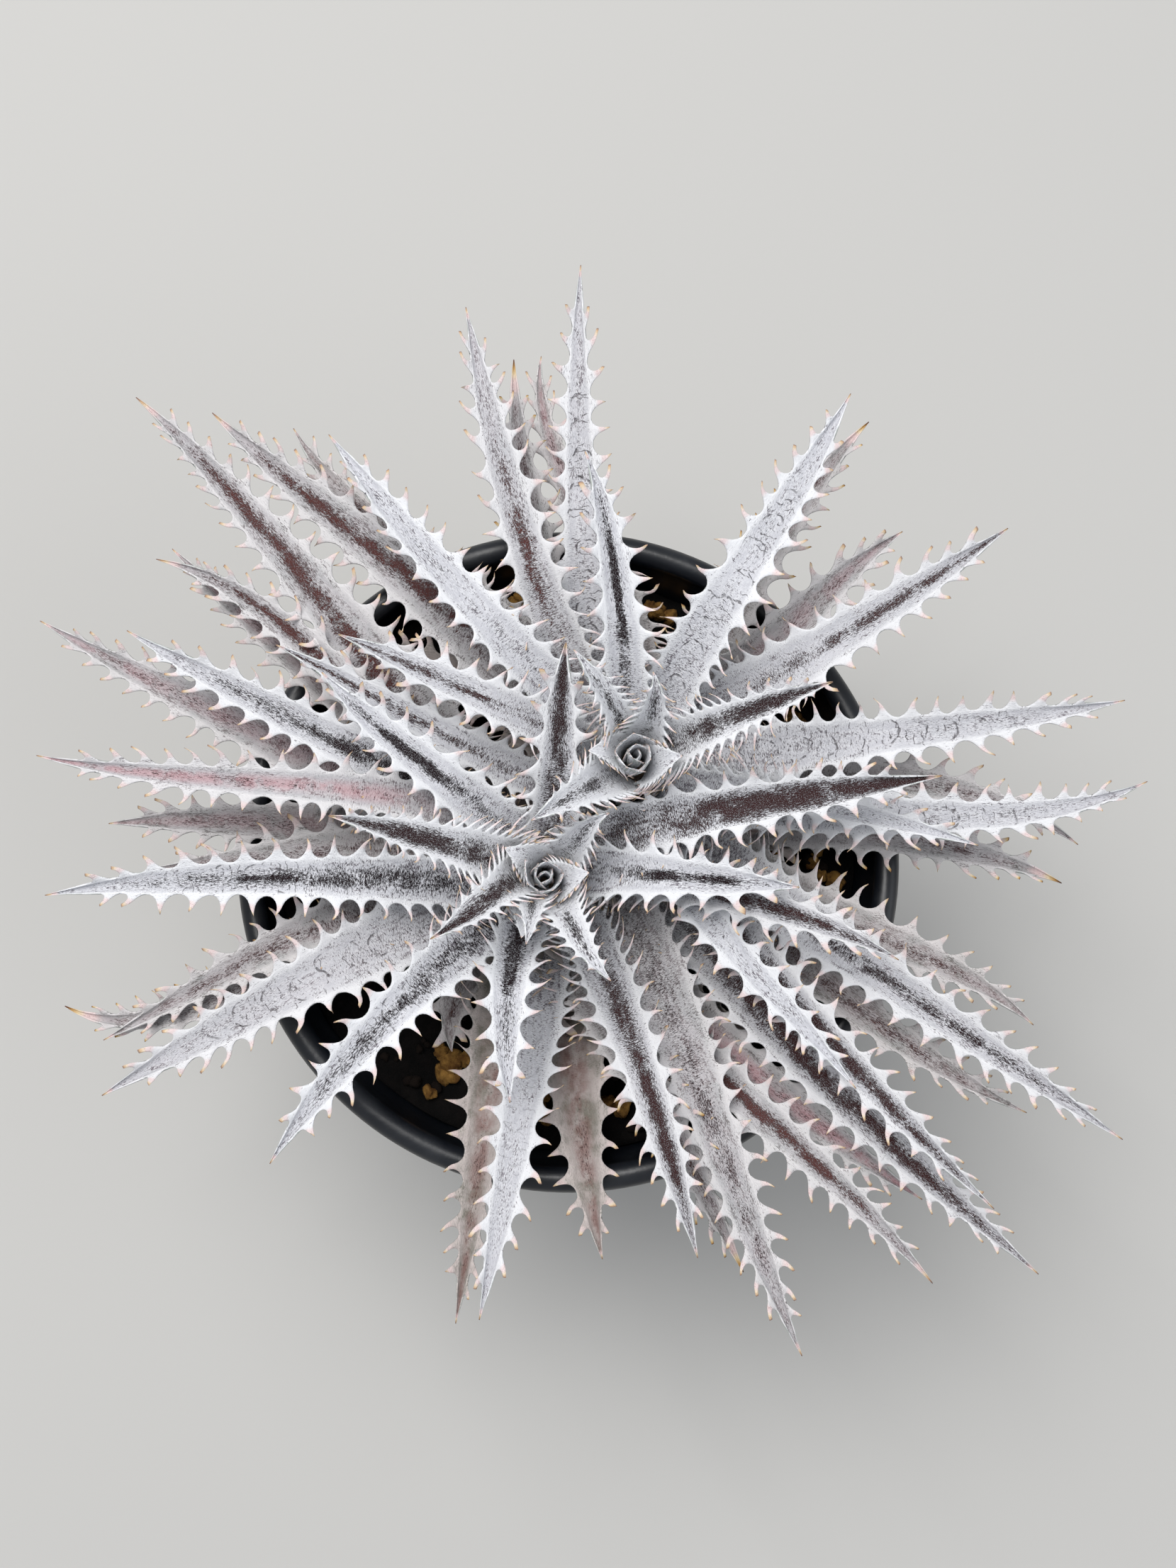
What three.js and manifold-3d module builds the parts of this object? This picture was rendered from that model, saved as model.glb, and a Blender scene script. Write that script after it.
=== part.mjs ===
// A silver dyckia with two crowns, growing in a round nursery pot.
// Millimetres, +Z up. The origin is the middle of the underside of the pot.
//
// The pot is turned and has drain holes. The soil fills it, with a plain hole for the short stock that
// carries the two crowns. Every long leaf is one closed, channelled, toothed blade. The leaves are laid
// on the plant from the lowest to the highest, and each one moves up the stem, arches and tilts just
// enough to lie clear of what is already there. The two hearts, tight buds of young leaves, come next,
// and the blades grow their teeth last, where there is room for them.
import * as THREE from "three";
import { ConvexGeometry } from "three/addons/geometries/ConvexGeometry.js";
import { mergeVertices } from "three/addons/utils/BufferGeometryUtils.js";
import Module from "manifold-3d";

const wasm = await Module();
wasm.setup();

// ---------------------------------------------------------------- driving dimensions
const GAP = 0.35; // between pieces that touch

const POT_HEIGHT = 115;
const POT_BASE_RADIUS = 47.5;
const POT_NECK_RADIUS = 66; // outside of the wall just below the rim
const POT_RIM_RADIUS = 70; // outside of the rolled rim
const POT_WALL = 1.6;
const POT_FLOOR = 2.4;
const RIM_ROLL = 2.7; // radius of the rolled rim's section
const FOOT_EDGE = 1.5; // height of the slant at the foot of the wall
const POT_SIDES = 48;
const DRAIN_HOLES = 6;
const DRAIN_RADIUS = 4.5;
const DRAIN_CIRCLE = 34;
const DRAIN_SIDES = 10;

const SOIL_LEVEL = 102;
const SOIL_RINGS = 7;
const GRANULES = 26;

const STEM_WIDE = 12; // radius of each stem at the lowest leaves and at its top
const STEM_NARROW = 6;
const STEM_SINK = 4; // how far each stem reaches down into the stock
const STEM_SIDES = 20;
const STOCK_RADIUS = STEM_WIDE; // the short woody stock that both stems rise from
const STOCK_BOTTOM = 84;
const STOCK_TOP = 102.5;
const CROWNS = { A: new THREE.Vector2(11.4, 16.3), B: new THREE.Vector2(-6.2, -6.5) };

const ROOT_LOWEST = 105; // height at which the lowest and the highest leaves leave the stem
const ROOT_HIGHEST = 124;
const RISE_LOWEST = 5; // angle at which they leave it, in degrees
const RISE_HIGHEST = 45;
const DROOP_LOWEST = 14; // how far the tips hang, in degrees
const DROOP_HIGHEST = 0;

const LEAF = { thickness: 2.3, tooth: 4.8, bare: 6 }; // a long leaf: bare is its stretch without teeth
const SHORT_LEAF = { thickness: 2, tooth: 4, bare: 5 };
const YOUNG_LEAF = { thickness: 1.3, tooth: 2.6, bare: 4 };
const LEAF_CHANNEL = 0.26; // rise of the margin over the midrib, as a share of the half width
const LEAF_FULLEST = 1.12; // the most that a blade swells over the width that its row states
const LEAF_NECK = 0.2; // share of the length over which a leaf widens from its root
const ROOT_WIDTH = 0.4; // width and thickness at the root, and thickness at the tip, as shares
const ROOT_THICKNESS = 0.65;
const TIP_THICKNESS = 0.45;
const LEAST_GRIP = 0.25; // how long at least a leaf keeps rising as it left the stem, as a share
const TIP_HANDLE = 0.35; // how long a leaf keeps the heading of its tip, as a share of its length
const TOOTHED = 0.93; // share of the length up to which there are teeth
const TOOTH_BASE = [0.24, 0.78]; // where a tooth's base starts and ends in its stretch of the margin
const TOOTH_ROOTING = 0.25; // how far inside the margin a tooth is rooted
const TOOTH_PITCH_ROOT = 6;
const TOOTH_PITCH_MIDDLE = 9;
const TOOTH_THICKNESS = 1;
const TOOTH_BENDS = [0, 1.5, -1.5, 3]; // heights by which a tooth may bend to pass what is beside it

const HEART_FOOT = 122; // lowest height of a heart's foot
const HEART_CORE_RADIUS = 5.5;
const HEART_CORE_HEIGHT = 9;
const HEART_LEAVES = 9;
const HEART_LEAF_WIDTH = [8, 4.5]; // from its outermost young leaf to its innermost
const HEART_START = { A: 175, B: 8 }; // heading of its outermost young leaf, in degrees
const HEART_TURN = 137.5; // degrees from one young leaf to the next
const SHORT_LEAF_FOOT = 3; // how far over the heart's foot the short leaves round it start
const HEART_ROOT_RADIUS = 3.6; // of its outermost young leaves
const HEART_TIP_RADIUS = 9.5;
const HEART_HEIGHT = 17;

// The long leaves, in layers from the lowest to the highest. Each row gives the crown it grows from, where
// its tip is (x, y, z), the heading at which it leaves the stem, the heading of its tip, how long it keeps
// the first heading (as a share of its length) and how wide it is.
const LEAVES = [
  [
    ["A", -60, 94, 108, 121, 117, 0.33, 9],
    ["A", -6, 109, 113, 80, 82, 0.33, 8],
    ["A", 65, 94, 116, 55, 47, 0.15, 9],
    ["B", -25, -41, 110, -135, -80, 0.33, 9],
    ["B", -97, 7, 112, 158, 180, 0.33, 11],
    ["B", -106, -31, 108, -175, -205, 0.33, 9],
    ["B", -85, 66, 112, 129, 134, 0.2, 10],
    ["A", 105, -6, 112, -17, -20, 0.2, 10],
    ["B", 73, -72, 113, -44, -33, 0.2, 9],
    ["B", 6, -83, 110, -77, -78, 0.2, 13],
    ["A", 94, -54, 119, -49, -22, 0.2, 10],
  ],
  [
    ["A", -77, 96, 112, 127, 134, 0.15, 10],
    ["A", 72, 70, 115, 38, 34, 0.33, 11],
    ["B", -24, -96, 113, -108, -100, 0.33, 9],
    ["B", 35, -86, 114, -62, -64, 0.33, 9],
    ["A", 108, 2, 115, 3, -35, 0.2, 9],
    ["B", -87, -3, 118, 159, 182, 0.33, 10],
    ["B", -96, -38, 113, -180, -153, 0.33, 9],
    ["A", -12, 106, 118, 120, 90, 0.2, 9],
    ["A", 96, -36, 119, -47, -40, 0.33, 11],
    ["B", -92, 97, 119, 128, 137, 0.15, 11],
    ["B", -111, 49, 118, 148, 149, 0.33, 11],
    ["B", 73, -88, 121, -57, -50, 0.2, 10],
    ["A", 94, -86, 124, -67, -40, 0.33, 11],
  ],
  [
    ["B", -87, 62, 119, 144, 166, 0.2, 10],
    ["B", 46, -102, 121, -5, -65, 0.12, 12],
    ["B", -95, -49, 122, -170, -151, 0.12, 13],
    ["A", 111, -59, 128, -48, -33, 0.12, 11],
    ["A", 2, 123, 130, 115, 87, 0.12, 9],
    ["A", 91, 67, 130, 36, 36, 0.2, 12],
    ["A", 115, 31, 128, 12, 12, 0.12, 10],
    ["A", 119, 14, 128, -15, 26, 0.12, 10],
    ["B", -19, -93, 128, -90, -102, 0.2, 10],
  ],
  [
    ["B", -91, 45, 128, 134, 149, 0.2, 11],
    ["B", -108, 19, 130, 123, 166, 0.2, 9],
    ["B", -106, -9, 128, -178, -170, 0.12, 11],
    ["A", 83, -72, 133, -59, -43, 0.33, 10],
    ["A", -22, 112, 134, 120, 101, 0.33, 11],
    ["B", -60, -62, 132, -141, -123, 0.33, 11],
    ["B", 24, -81, 132, -45, -76, 0.12, 11],
    ["A", -50, 85, 133, 132, 125, 0.12, 11],
    ["A", -60, 41, 134, -156, -207, 0.12, 9],
    ["A", 81, 0, 137, -9, -17, 0.2, 7],
  ],
  [
    ["A", 57, 93, 138, 64, 63, 0.33, 12],
    ["A", 55, -48, 138, -72, -52, 0.33, 8],
    ["A", -47, 42, 140, 152, 156, 0.12, 10],
    ["B", -50, 34, 142, 118, 130, 0.12, 11],
    ["B", -13, -50, 143, -115, -84, 0.33, 10],
    ["B", 63, -23, 142, 15, -28, 0.12, 10],
  ],
  [
    ["B", 72, 13, 146, 30, 8, 0.12, 12],
    ["A", 2, 78, 146, 92, 110, 0.2, 10],
    ["B", 43, -9, 148, 12, -4, 0.12, 11],
    ["B", -2, 39, 148, 78, 84, 0.2, 11],
  ],
];

// Short leaves round each bud, in the same terms. They grow from the bud itself.
const HEART_LONG_LEAVES = {
  A: [
    ["A", 48, 29, 147, 20, 17, 0.2, 9],
    ["A", -1, 35, 147, 108, 127, 0.2, 7],
    ["A", 14, 31, 146, 65, 110, 0.33, 7],
    ["A", -9, 3, 144, -145, -147, 0.33, 8],
  ],
  B: [
    ["B", -47, 4, 149, 158, 168, 0.2, 10],
    ["B", -28, -19, 146, 165, -155, 0.12, 9],
    ["B", 6, -27, 146, -56, -42, 0.12, 8],
    ["B", -10, -20, 144, -127, -107, 0.12, 7],
    ["B", 6, 5, 144, 45, 20, 0.33, 7],
  ],
};

const FUR = { color: 0xc3c3c9, roughness: 0.9, metalness: 0 };
const BUD = { color: 0xb9b6bd, roughness: 0.9, metalness: 0 };
const BARK = { color: 0x5d4a3a, roughness: 0.95, metalness: 0 };
const EARTH = { color: 0x17130f, roughness: 1, metalness: 0 };
const PLASTIC = { color: 0x12161c, roughness: 0.45, metalness: 0 };

// ---------------------------------------------------------------- small helpers
const radians = THREE.MathUtils.degToRad;
const mix = THREE.MathUtils.lerp;

function named(name, geometry, finish) {
  const mesh = new THREE.Mesh(geometry, new THREE.MeshStandardMaterial(finish));
  mesh.name = name;
  return mesh;
}

// A repeatable stream of numbers from 0 to 1.
function seeded(seed) {
  let state = seed;
  return () => {
    state = (state * 48271) % 2147483647;
    return state / 2147483647;
  };
}

function toSolid(geometry) {
  const bare = geometry.clone();
  bare.deleteAttribute("normal");
  bare.deleteAttribute("uv");
  const welded = mergeVertices(bare, 1e-4);
  const vertProperties = new Float32Array(welded.attributes.position.array);
  const triVerts = new Uint32Array(welded.index.array);
  return new wasm.Manifold(new wasm.Mesh({ numProp: 3, vertProperties, triVerts }));
}

function toGeometry(solid) {
  const mesh = solid.getMesh();
  const geometry = new THREE.BufferGeometry();
  geometry.setAttribute("position", new THREE.BufferAttribute(mesh.vertProperties, 3));
  geometry.setIndex(new THREE.BufferAttribute(mesh.triVerts, 1));
  return geometry;
}

// A turned shape about +Z from [radius, height] pairs that run up the outside.
function turned(profile, sides) {
  const points = profile.map(([radius, height]) => new THREE.Vector2(radius, height));
  return new THREE.LatheGeometry(points, sides).rotateX(Math.PI / 2);
}

// ---------------------------------------------------------------- pot and soil
const wallRadius = (height) => mix(POT_BASE_RADIUS, POT_NECK_RADIUS, height / POT_HEIGHT);

function drainHole(centre) {
  const shape = new THREE.CylinderGeometry(DRAIN_RADIUS, DRAIN_RADIUS, 3 * POT_FLOOR, DRAIN_SIDES);
  return shape.rotateX(Math.PI / 2).translate(centre.x, centre.y, POT_FLOOR / 2);
}

function potGeometry() {
  const rimRadius = POT_RIM_RADIUS - RIM_ROLL;
  const rimHeight = POT_HEIGHT - RIM_ROLL;
  const roll = [-60, -20, 20, 60, 90, 125, 165, 200].map((degrees) => [
    rimRadius + RIM_ROLL * Math.cos(radians(degrees)),
    rimHeight + RIM_ROLL * Math.sin(radians(degrees)),
  ]);
  const underRim = rimHeight - 2 * RIM_ROLL;
  const profile = [
    [0, 0],
    [POT_BASE_RADIUS - FOOT_EDGE / 2, 0],
    [wallRadius(FOOT_EDGE), FOOT_EDGE],
    [wallRadius(underRim), underRim],
    ...roll,
    [wallRadius(underRim) - POT_WALL, underRim],
    [wallRadius(POT_FLOOR) - POT_WALL, POT_FLOOR],
    [0, POT_FLOOR],
  ];
  let pot = toSolid(turned(profile, POT_SIDES));
  for (let i = 0; i < DRAIN_HOLES; i++) {
    const angle = ((i + 0.5) * 2 * Math.PI) / DRAIN_HOLES;
    const centre = new THREE.Vector2(Math.cos(angle), Math.sin(angle)).multiplyScalar(DRAIN_CIRCLE);
    pot = pot.subtract(toSolid(drainHole(centre)));
  }
  return toGeometry(pot);
}

// Soil surface: a slight mound towards the plant with crumbly waves.
function soilHeight(x, y) {
  const mound = 2.2 * Math.exp(-(x * x + y * y) / 1500);
  const waves = 0.55 * Math.sin(x * 0.31 + 1) * Math.cos(y * 0.27) + 0.4 * Math.sin(x * 0.13 - y * 0.22);
  return SOIL_LEVEL + mound + waves;
}

function soilGeometry() {
  const bottom = POT_FLOOR + GAP;
  const topRadius = wallRadius(SOIL_LEVEL) - POT_WALL - GAP;
  const bottomRadius = wallRadius(bottom) - POT_WALL - GAP;
  const profile = [[0, bottom], [bottomRadius, bottom]];
  for (let ring = SOIL_RINGS; ring >= 0; ring--) profile.push([(topRadius * ring) / SOIL_RINGS, SOIL_LEVEL]);
  const body = turned(profile, POT_SIDES);
  const place = body.attributes.position;
  for (let i = 0; i < place.count; i++) {
    const [x, y] = [place.getX(i), place.getY(i)];
    const atWall = Math.hypot(x, y) > topRadius - 1;
    if (place.getZ(i) > bottom + 1 && !atWall) place.setZ(i, soilHeight(x, y));
  }
  let soil = toSolid(body);
  const random = seeded(41);
  for (let i = 0; i < GRANULES; i++) {
    const angle = 2 * Math.PI * random();
    const reach = topRadius * mix(0.35, 0.93, Math.sqrt(random()));
    const [x, y] = [reach * Math.cos(angle), reach * Math.sin(angle)];
    const grain = new THREE.OctahedronGeometry(mix(1.5, 2.6, random()));
    grain.scale(1, mix(0.7, 1, random()), 0.7).rotateZ(angle * 5);
    soil = soil.add(toSolid(grain.translate(x, y, soilHeight(x, y) + 0.3)));
  }
  return toGeometry(soil.subtract(stockSolid(GAP)));
}

// ---------------------------------------------------------------- stock and stems
// The stock is a short rounded bar from one crown to the other, buried in the soil.
function stockSolid(margin) {
  const across = CROWNS.A.clone().sub(CROWNS.B);
  const radius = STOCK_RADIUS + margin;
  const bar = new THREE.Shape();
  bar.absarc(across.length() / 2, 0, radius, -Math.PI / 2, Math.PI / 2);
  bar.absarc(-across.length() / 2, 0, radius, Math.PI / 2, (3 * Math.PI) / 2);
  const depth = (margin > 0 ? POT_HEIGHT : STOCK_TOP) - STOCK_BOTTOM + margin;
  const shape = new THREE.ExtrudeGeometry(bar, { depth, bevelEnabled: false, curveSegments: 7 });
  const middle = CROWNS.A.clone().add(CROWNS.B).multiplyScalar(0.5);
  shape.rotateZ(across.angle()).translate(middle.x, middle.y, STOCK_BOTTOM - margin);
  return toSolid(shape);
}

// Each stem is a cone between the lowest and the highest leaves, and straight above and below.
function stemRadius(height) {
  const share = THREE.MathUtils.clamp((height - ROOT_LOWEST) / (ROOT_HIGHEST - ROOT_LOWEST), 0, 1);
  return mix(STEM_WIDE, STEM_NARROW, share);
}

function stemSolid(crown, top) {
  const bottom = STOCK_TOP - STEM_SINK;
  const side = [bottom, ROOT_LOWEST, ROOT_HIGHEST, top].map((height) => [stemRadius(height), height]);
  const stem = turned([[0, bottom], ...side, [0, top]], STEM_SIDES);
  return toSolid(stem.translate(CROWNS[crown].x, CROWNS[crown].y, 0));
}

function stemGeometry(topA, topB) {
  return toGeometry(stockSolid(0).add(stemSolid("A", topA)).add(stemSolid("B", topB)));
}

// ---------------------------------------------------------------- leaves
// How wide and thick a leaf is at u, from 0 at its root to 1 at its tip.
const neckAt = (u) => Math.min(1, u / LEAF_NECK);
const taperAt = (u) => Math.pow(1 - Math.pow(u, 2.6), 0.9);
const widthAt = (u) => LEAF_FULLEST * taperAt(u) * mix(ROOT_WIDTH, 1, neckAt(u));
const thicknessAt = (u) => mix(ROOT_THICKNESS, 1, neckAt(u)) * mix(1, TIP_THICKNESS, u);
const toothLengthAt = (u) => mix(1.05, 0.55, u * u);
// Teeth lean back towards the crown near the root and forward near the tip.
const toothLeanAt = (u) => mix(-0.55, 0.4, Math.min(1, u * 1.2));

// The middle line of a long leaf that leaves its crown at a height and a radius. rank is 0 for the lowest
// layer of leaves and 1 for the highest.
function leafCurve([crown, x, y, z, rootHeading, tipHeading, grip], rank, rootHeight, rootRadius) {
  const axis = CROWNS[crown];
  const leave = new THREE.Vector2(Math.cos(radians(rootHeading)), Math.sin(radians(rootHeading)));
  const arrive = new THREE.Vector2(Math.cos(radians(tipHeading)), Math.sin(radians(tipHeading)));
  const root = axis.clone().addScaledVector(leave, rootRadius);
  const tip = new THREE.Vector2(x, y);
  const length = root.distanceTo(tip);
  const rise = Math.tan(radians(mix(RISE_LOWEST, RISE_HIGHEST, rank)));
  const droop = Math.tan(radians(mix(DROOP_LOWEST, DROOP_HIGHEST, rank)));
  const first = root.clone().addScaledVector(leave, grip * length);
  const second = tip.clone().addScaledVector(arrive, -TIP_HANDLE * length);
  return new THREE.CubicBezierCurve3(
    new THREE.Vector3(root.x, root.y, rootHeight),
    new THREE.Vector3(first.x, first.y, rootHeight + rise * Math.max(grip, LEAST_GRIP) * length),
    new THREE.Vector3(second.x, second.y, z + droop * TIP_HANDLE * length),
    new THREE.Vector3(tip.x, tip.y, z),
  );
}

// Places along a leaf of that length where one tooth's stretch ends and the next begins.
function toothStations(length, bare) {
  const stations = [0];
  let reached = bare;
  while (reached < length * TOOTHED) {
    const u = reached / length;
    stations.push(u);
    reached += mix(TOOTH_PITCH_ROOT, TOOTH_PITCH_MIDDLE, Math.min(1, u * 2.2)) * mix(1, 0.8, u * u);
  }
  return stations;
}

// A blade is a curve with its sizes and, once it is laid, its lift at the root and towards the tip.
class Blade {
  constructor(curve, { width, thickness, tooth, bare, heading = null }) {
    Object.assign(this, { curve, width, thickness, tooth, heading, root: 0, arch: 0, slope: 0 });
    this.length = curve.getLength();
    this.stations = toothStations(this.length, bare);
    this.teeth = new Map();
  }

  half(u) {
    return (this.width / 2) * widthAt(u);
  }

  // A point at u along the leaf, across it to the left, and up from its face.
  at(u, across, height) {
    const along = THREE.MathUtils.clamp(u, 0, 1);
    const tangent = this.curve.getTangentAt(along);
    const flat = this.heading ?? new THREE.Vector3(tangent.x, tangent.y, 0).normalize();
    const side = new THREE.Vector3(-flat.y, flat.x, 0);
    const up = new THREE.Vector3().crossVectors(tangent, side).normalize();
    const point = this.curve.getPointAt(along).addScaledVector(side, across).addScaledVector(up, height);
    point.z += this.root + 4 * this.arch * along * (1 - along) + this.slope * along;
    return point;
  }

  margin(u, sign, out, sink) {
    const across = this.half(u) + out;
    return this.at(u, sign * across, LEAF_CHANNEL * across - sink);
  }

  // The four corners of the tooth in a stretch: its base from a to b, its point, and its thick middle.
  toothCorners(stretch, sign, bend) {
    const [from, to] = [this.stations[stretch], this.stations[stretch + 1]];
    const centre = mix(from, to, 0.5);
    const reach = this.tooth * toothLengthAt(centre);
    return {
      a: this.margin(mix(from, to, TOOTH_BASE[0]), sign, 0, 0),
      b: this.margin(mix(from, to, TOOTH_BASE[1]), sign, 0, 0),
      point: this.margin(centre + (toothLeanAt(centre) * reach) / this.length, sign, reach, -bend),
      base: this.margin(centre, sign, -TOOTH_ROOTING, TOOTH_THICKNESS * thicknessAt(centre)),
    };
  }

  // The room a tooth takes, with the clearance that it keeps.
  toothRoom(stretch, sign, bend) {
    const { a, b, point, base } = this.toothCorners(stretch, sign, bend);
    const lift = new THREE.Vector3(0, 0, GAP);
    const outer = point.clone().sub(base).multiplyScalar(1 + GAP / this.tooth).add(base);
    const room = [a, b, outer].flatMap((corner) => [corner.clone().add(lift), corner.clone().sub(lift)]);
    return new ConvexGeometry([...room, base.clone().sub(lift)]);
  }

  // One closed surface: the face, the keel below it, and the teeth that the blade has. Where along the
  // leaf each vertex is goes with it.
  geometry() {
    const places = [];
    const along = [];
    const faces = [];
    const vertex = (u, point) => {
      places.push(point.x, point.y, point.z);
      return along.push(Math.min(u, 1)) - 1;
    };
    const { stations } = this;
    const last = stations.length - 1;
    const middle = stations.map((u) => vertex(u, this.at(u, 0, 0)));
    const keel = stations.map((u) => vertex(u, this.at(u, 0, -this.thickness * thicknessAt(u))));
    const tip = vertex(1, this.at(1, 0, 0));
    const corners = [];
    for (const sign of [1, -1]) {
      const upper = (...corner) => faces.push(...(sign > 0 ? corner.reverse() : corner));
      const lower = (...corner) => faces.push(...(sign > 0 ? corner : corner.reverse()));
      let before = vertex(0, this.margin(0, sign, 0, 0));
      corners.push(before);
      for (let i = 0; i < last; i++) {
        const [m, k, mNext, kNext] = [middle[i], keel[i], middle[i + 1], keel[i + 1]];
        const bend = this.teeth.get(sign * (i + 1));
        const u = mix(stations[i], stations[i + 1], 0.5);
        if (bend === undefined) {
          const next = vertex(stations[i + 1], this.margin(stations[i + 1], sign, 0, 0));
          upper(m, before, next);
          upper(m, next, mNext);
          lower(k, before, next);
          lower(k, next, kNext);
          before = next;
          continue;
        }
        const tooth = this.toothCorners(i, sign, bend);
        const [a, b, point, base] = [tooth.a, tooth.b, tooth.point, tooth.base].map((p) => vertex(u, p));
        upper(m, before, a);
        upper(m, a, b);
        upper(a, point, b);
        upper(m, b, mNext);
        lower(k, before, a);
        lower(k, a, base);
        lower(k, base, b);
        lower(a, point, base);
        lower(base, point, b);
        lower(k, b, kNext);
        before = b;
      }
      upper(middle[last], before, tip);
      lower(keel[last], before, tip);
    }
    faces.push(middle[0], corners[0], keel[0]);
    faces.push(middle[0], keel[0], corners[1]);
    const geometry = new THREE.BufferGeometry();
    geometry.setAttribute("position", new THREE.Float32BufferAttribute(places, 3));
    geometry.setIndex(faces);
    return { geometry, along };
  }
}

// ---------------------------------------------------------------- laying leaves on the plant
// The pile is a height map of everything that is already in place.
const PILE_CELL = 0.4;
const PILE_HALF = 135;
const PILE_SIDE = Math.round((2 * PILE_HALF) / PILE_CELL);
const pile = new Float32Array(PILE_SIDE * PILE_SIDE).fill(-1000);

const cellOf = (value) => Math.round((value + PILE_HALF) / PILE_CELL);

// Visits points spread evenly over every face, with each point's share of the face's three corners.
function overFaces(geometry, visit) {
  const place = geometry.attributes.position;
  const index = geometry.index.array;
  const corner = [new THREE.Vector3(), new THREE.Vector3(), new THREE.Vector3()];
  for (let f = 0; f < index.length; f += 3) {
    corner.forEach((v, k) => v.fromBufferAttribute(place, index[f + k]));
    const spans = [0, 1, 2].map((k) => corner[k].distanceTo(corner[(k + 1) % 3]));
    const steps = Math.ceil(Math.max(...spans) / (0.7 * PILE_CELL));
    for (let i = 0; i <= steps; i++) {
      for (let j = 0; j <= steps - i; j++) {
        const share = [i / steps, j / steps, 1 - (i + j) / steps];
        const at = (axis) => corner.reduce((sum, v, k) => sum + v.getComponent(axis) * share[k], 0);
        visit(at(0), at(1), at(2), index, f, share);
      }
    }
  }
}

function addToPile(geometry) {
  overFaces(geometry, (x, y, z) => {
    const cell = cellOf(y) * PILE_SIDE + cellOf(x);
    pile[cell] = Math.max(pile[cell], z);
  });
}

// How much each stretch of a blade has to rise to clear the pile.
const STRETCHES = 60;
const FIT_PASSES = 3;
const LIFT_STEP = 0.2;
const ROOT_EFFORT = 2;
const ARCH_EFFORT = 0.7;
const TILT_EFFORT = 0.5;
function liftNeeded(geometry, along) {
  const need = new Float32Array(STRETCHES + 1);
  overFaces(geometry, (x, y, z, index, f, share) => {
    const u = share.reduce((sum, part, k) => sum + part * along[index[f + k]], 0);
    const stretch = Math.round(u * STRETCHES);
    const [column, row] = [cellOf(x), cellOf(y)];
    for (let r = row - 1; r <= row + 1; r++) {
      for (let c = column - 1; c <= column + 1; c++) {
        need[stretch] = Math.max(need[stretch], pile[r * PILE_SIDE + c] + GAP - z);
      }
    }
  });
  return need;
}

// The easiest way to clear every stretch: the root moves up the stem, the leaf arches, and it tilts up
// towards its tip.
function easiestLift(need) {
  let best = null;
  const highest = Math.max(...need);
  for (let root = need[0]; root <= highest + LIFT_STEP; root += LIFT_STEP) {
    for (let arch = 0; arch <= highest - root + LIFT_STEP; arch += LIFT_STEP) {
      let slope = 0;
      for (let i = 1; i <= STRETCHES; i++) {
        const u = i / STRETCHES;
        slope = Math.max(slope, (need[i] - root - arch * 4 * u * (1 - u)) / u);
      }
      const effort = ROOT_EFFORT * root + ARCH_EFFORT * arch + TILT_EFFORT * slope;
      if (best === null || effort < best.effort) best = { effort, root, arch, slope };
    }
  }
  return best;
}

// A leaf laid on the pile as it is now. Moving up the stem, it also moves in with the stem's side.
function fitLeaf(row, rank) {
  let rootHeight = mix(ROOT_LOWEST, ROOT_HIGHEST, rank);
  let blade = null;
  for (let pass = 0; pass < FIT_PASSES; pass++) {
    const curve = leafCurve(row, rank, rootHeight, stemRadius(rootHeight) + GAP);
    blade = new Blade(curve, { ...LEAF, width: row[7] });
    const { geometry, along } = blade.geometry();
    Object.assign(blade, easiestLift(liftNeeded(geometry, along)));
    rootHeight += blade.root;
  }
  return blade;
}

// Gives every blade its teeth, each bent a little where something is beside it. A tooth that has no room
// even so is left out.
function growTeeth(blades, others) {
  const taken = [];
  const take = (owner, geometry) => {
    geometry.computeBoundingBox();
    taken.push({ owner, box: geometry.boundingBox, solid: toSolid(geometry) });
  };
  others.forEach((geometry) => take(null, geometry));
  blades.forEach((blade) => take(blade, blade.geometry().geometry));
  for (const blade of blades) {
    for (let stretch = 1; stretch < blade.stations.length - 1; stretch++) {
      for (const sign of [1, -1]) {
        const bend = TOOTH_BENDS.find((height) => {
          const room = blade.toothRoom(stretch, sign, height);
          room.computeBoundingBox();
          const solid = toSolid(room);
          const inTheWay = (other) =>
            other.owner !== blade &&
            other.box.intersectsBox(room.boundingBox) &&
            !other.solid.intersect(solid).isEmpty();
          return !taken.some(inTheWay);
        });
        if (bend === undefined) continue;
        blade.teeth.set(sign * (stretch + 1), bend);
        take(blade, blade.toothRoom(stretch, sign, bend));
      }
    }
  }
}

// ---------------------------------------------------------------- hearts
// A young leaf of the bud, in the upright plane through the crown's axis. young is 0 on the outside of
// the bud and 1 at its middle. It stands up against the core and then leans out.
function youngLeafCurve(axis, turn, young) {
  const outward = new THREE.Vector3(Math.cos(turn), Math.sin(turn), 0);
  const middle = new THREE.Vector3(axis.x, axis.y, 0);
  const point = (radius, height) => middle.clone().addScaledVector(outward, radius).setZ(height);
  const tipRadius = mix(HEART_TIP_RADIUS, 0.8, young);
  const top = mix(0.62, 1, young) * HEART_HEIGHT;
  const rootRadius = mix(HEART_ROOT_RADIUS, 0.8, young);
  return {
    outward,
    curve: new THREE.CubicBezierCurve3(
      point(rootRadius, mix(1, 5, young)),
      point(rootRadius + mix(0.9, 1.5, young), top * 0.6),
      point(tipRadius - mix(3, -1.2, young), top * 0.9),
      point(tipRadius, top),
    ),
  };
}

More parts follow.
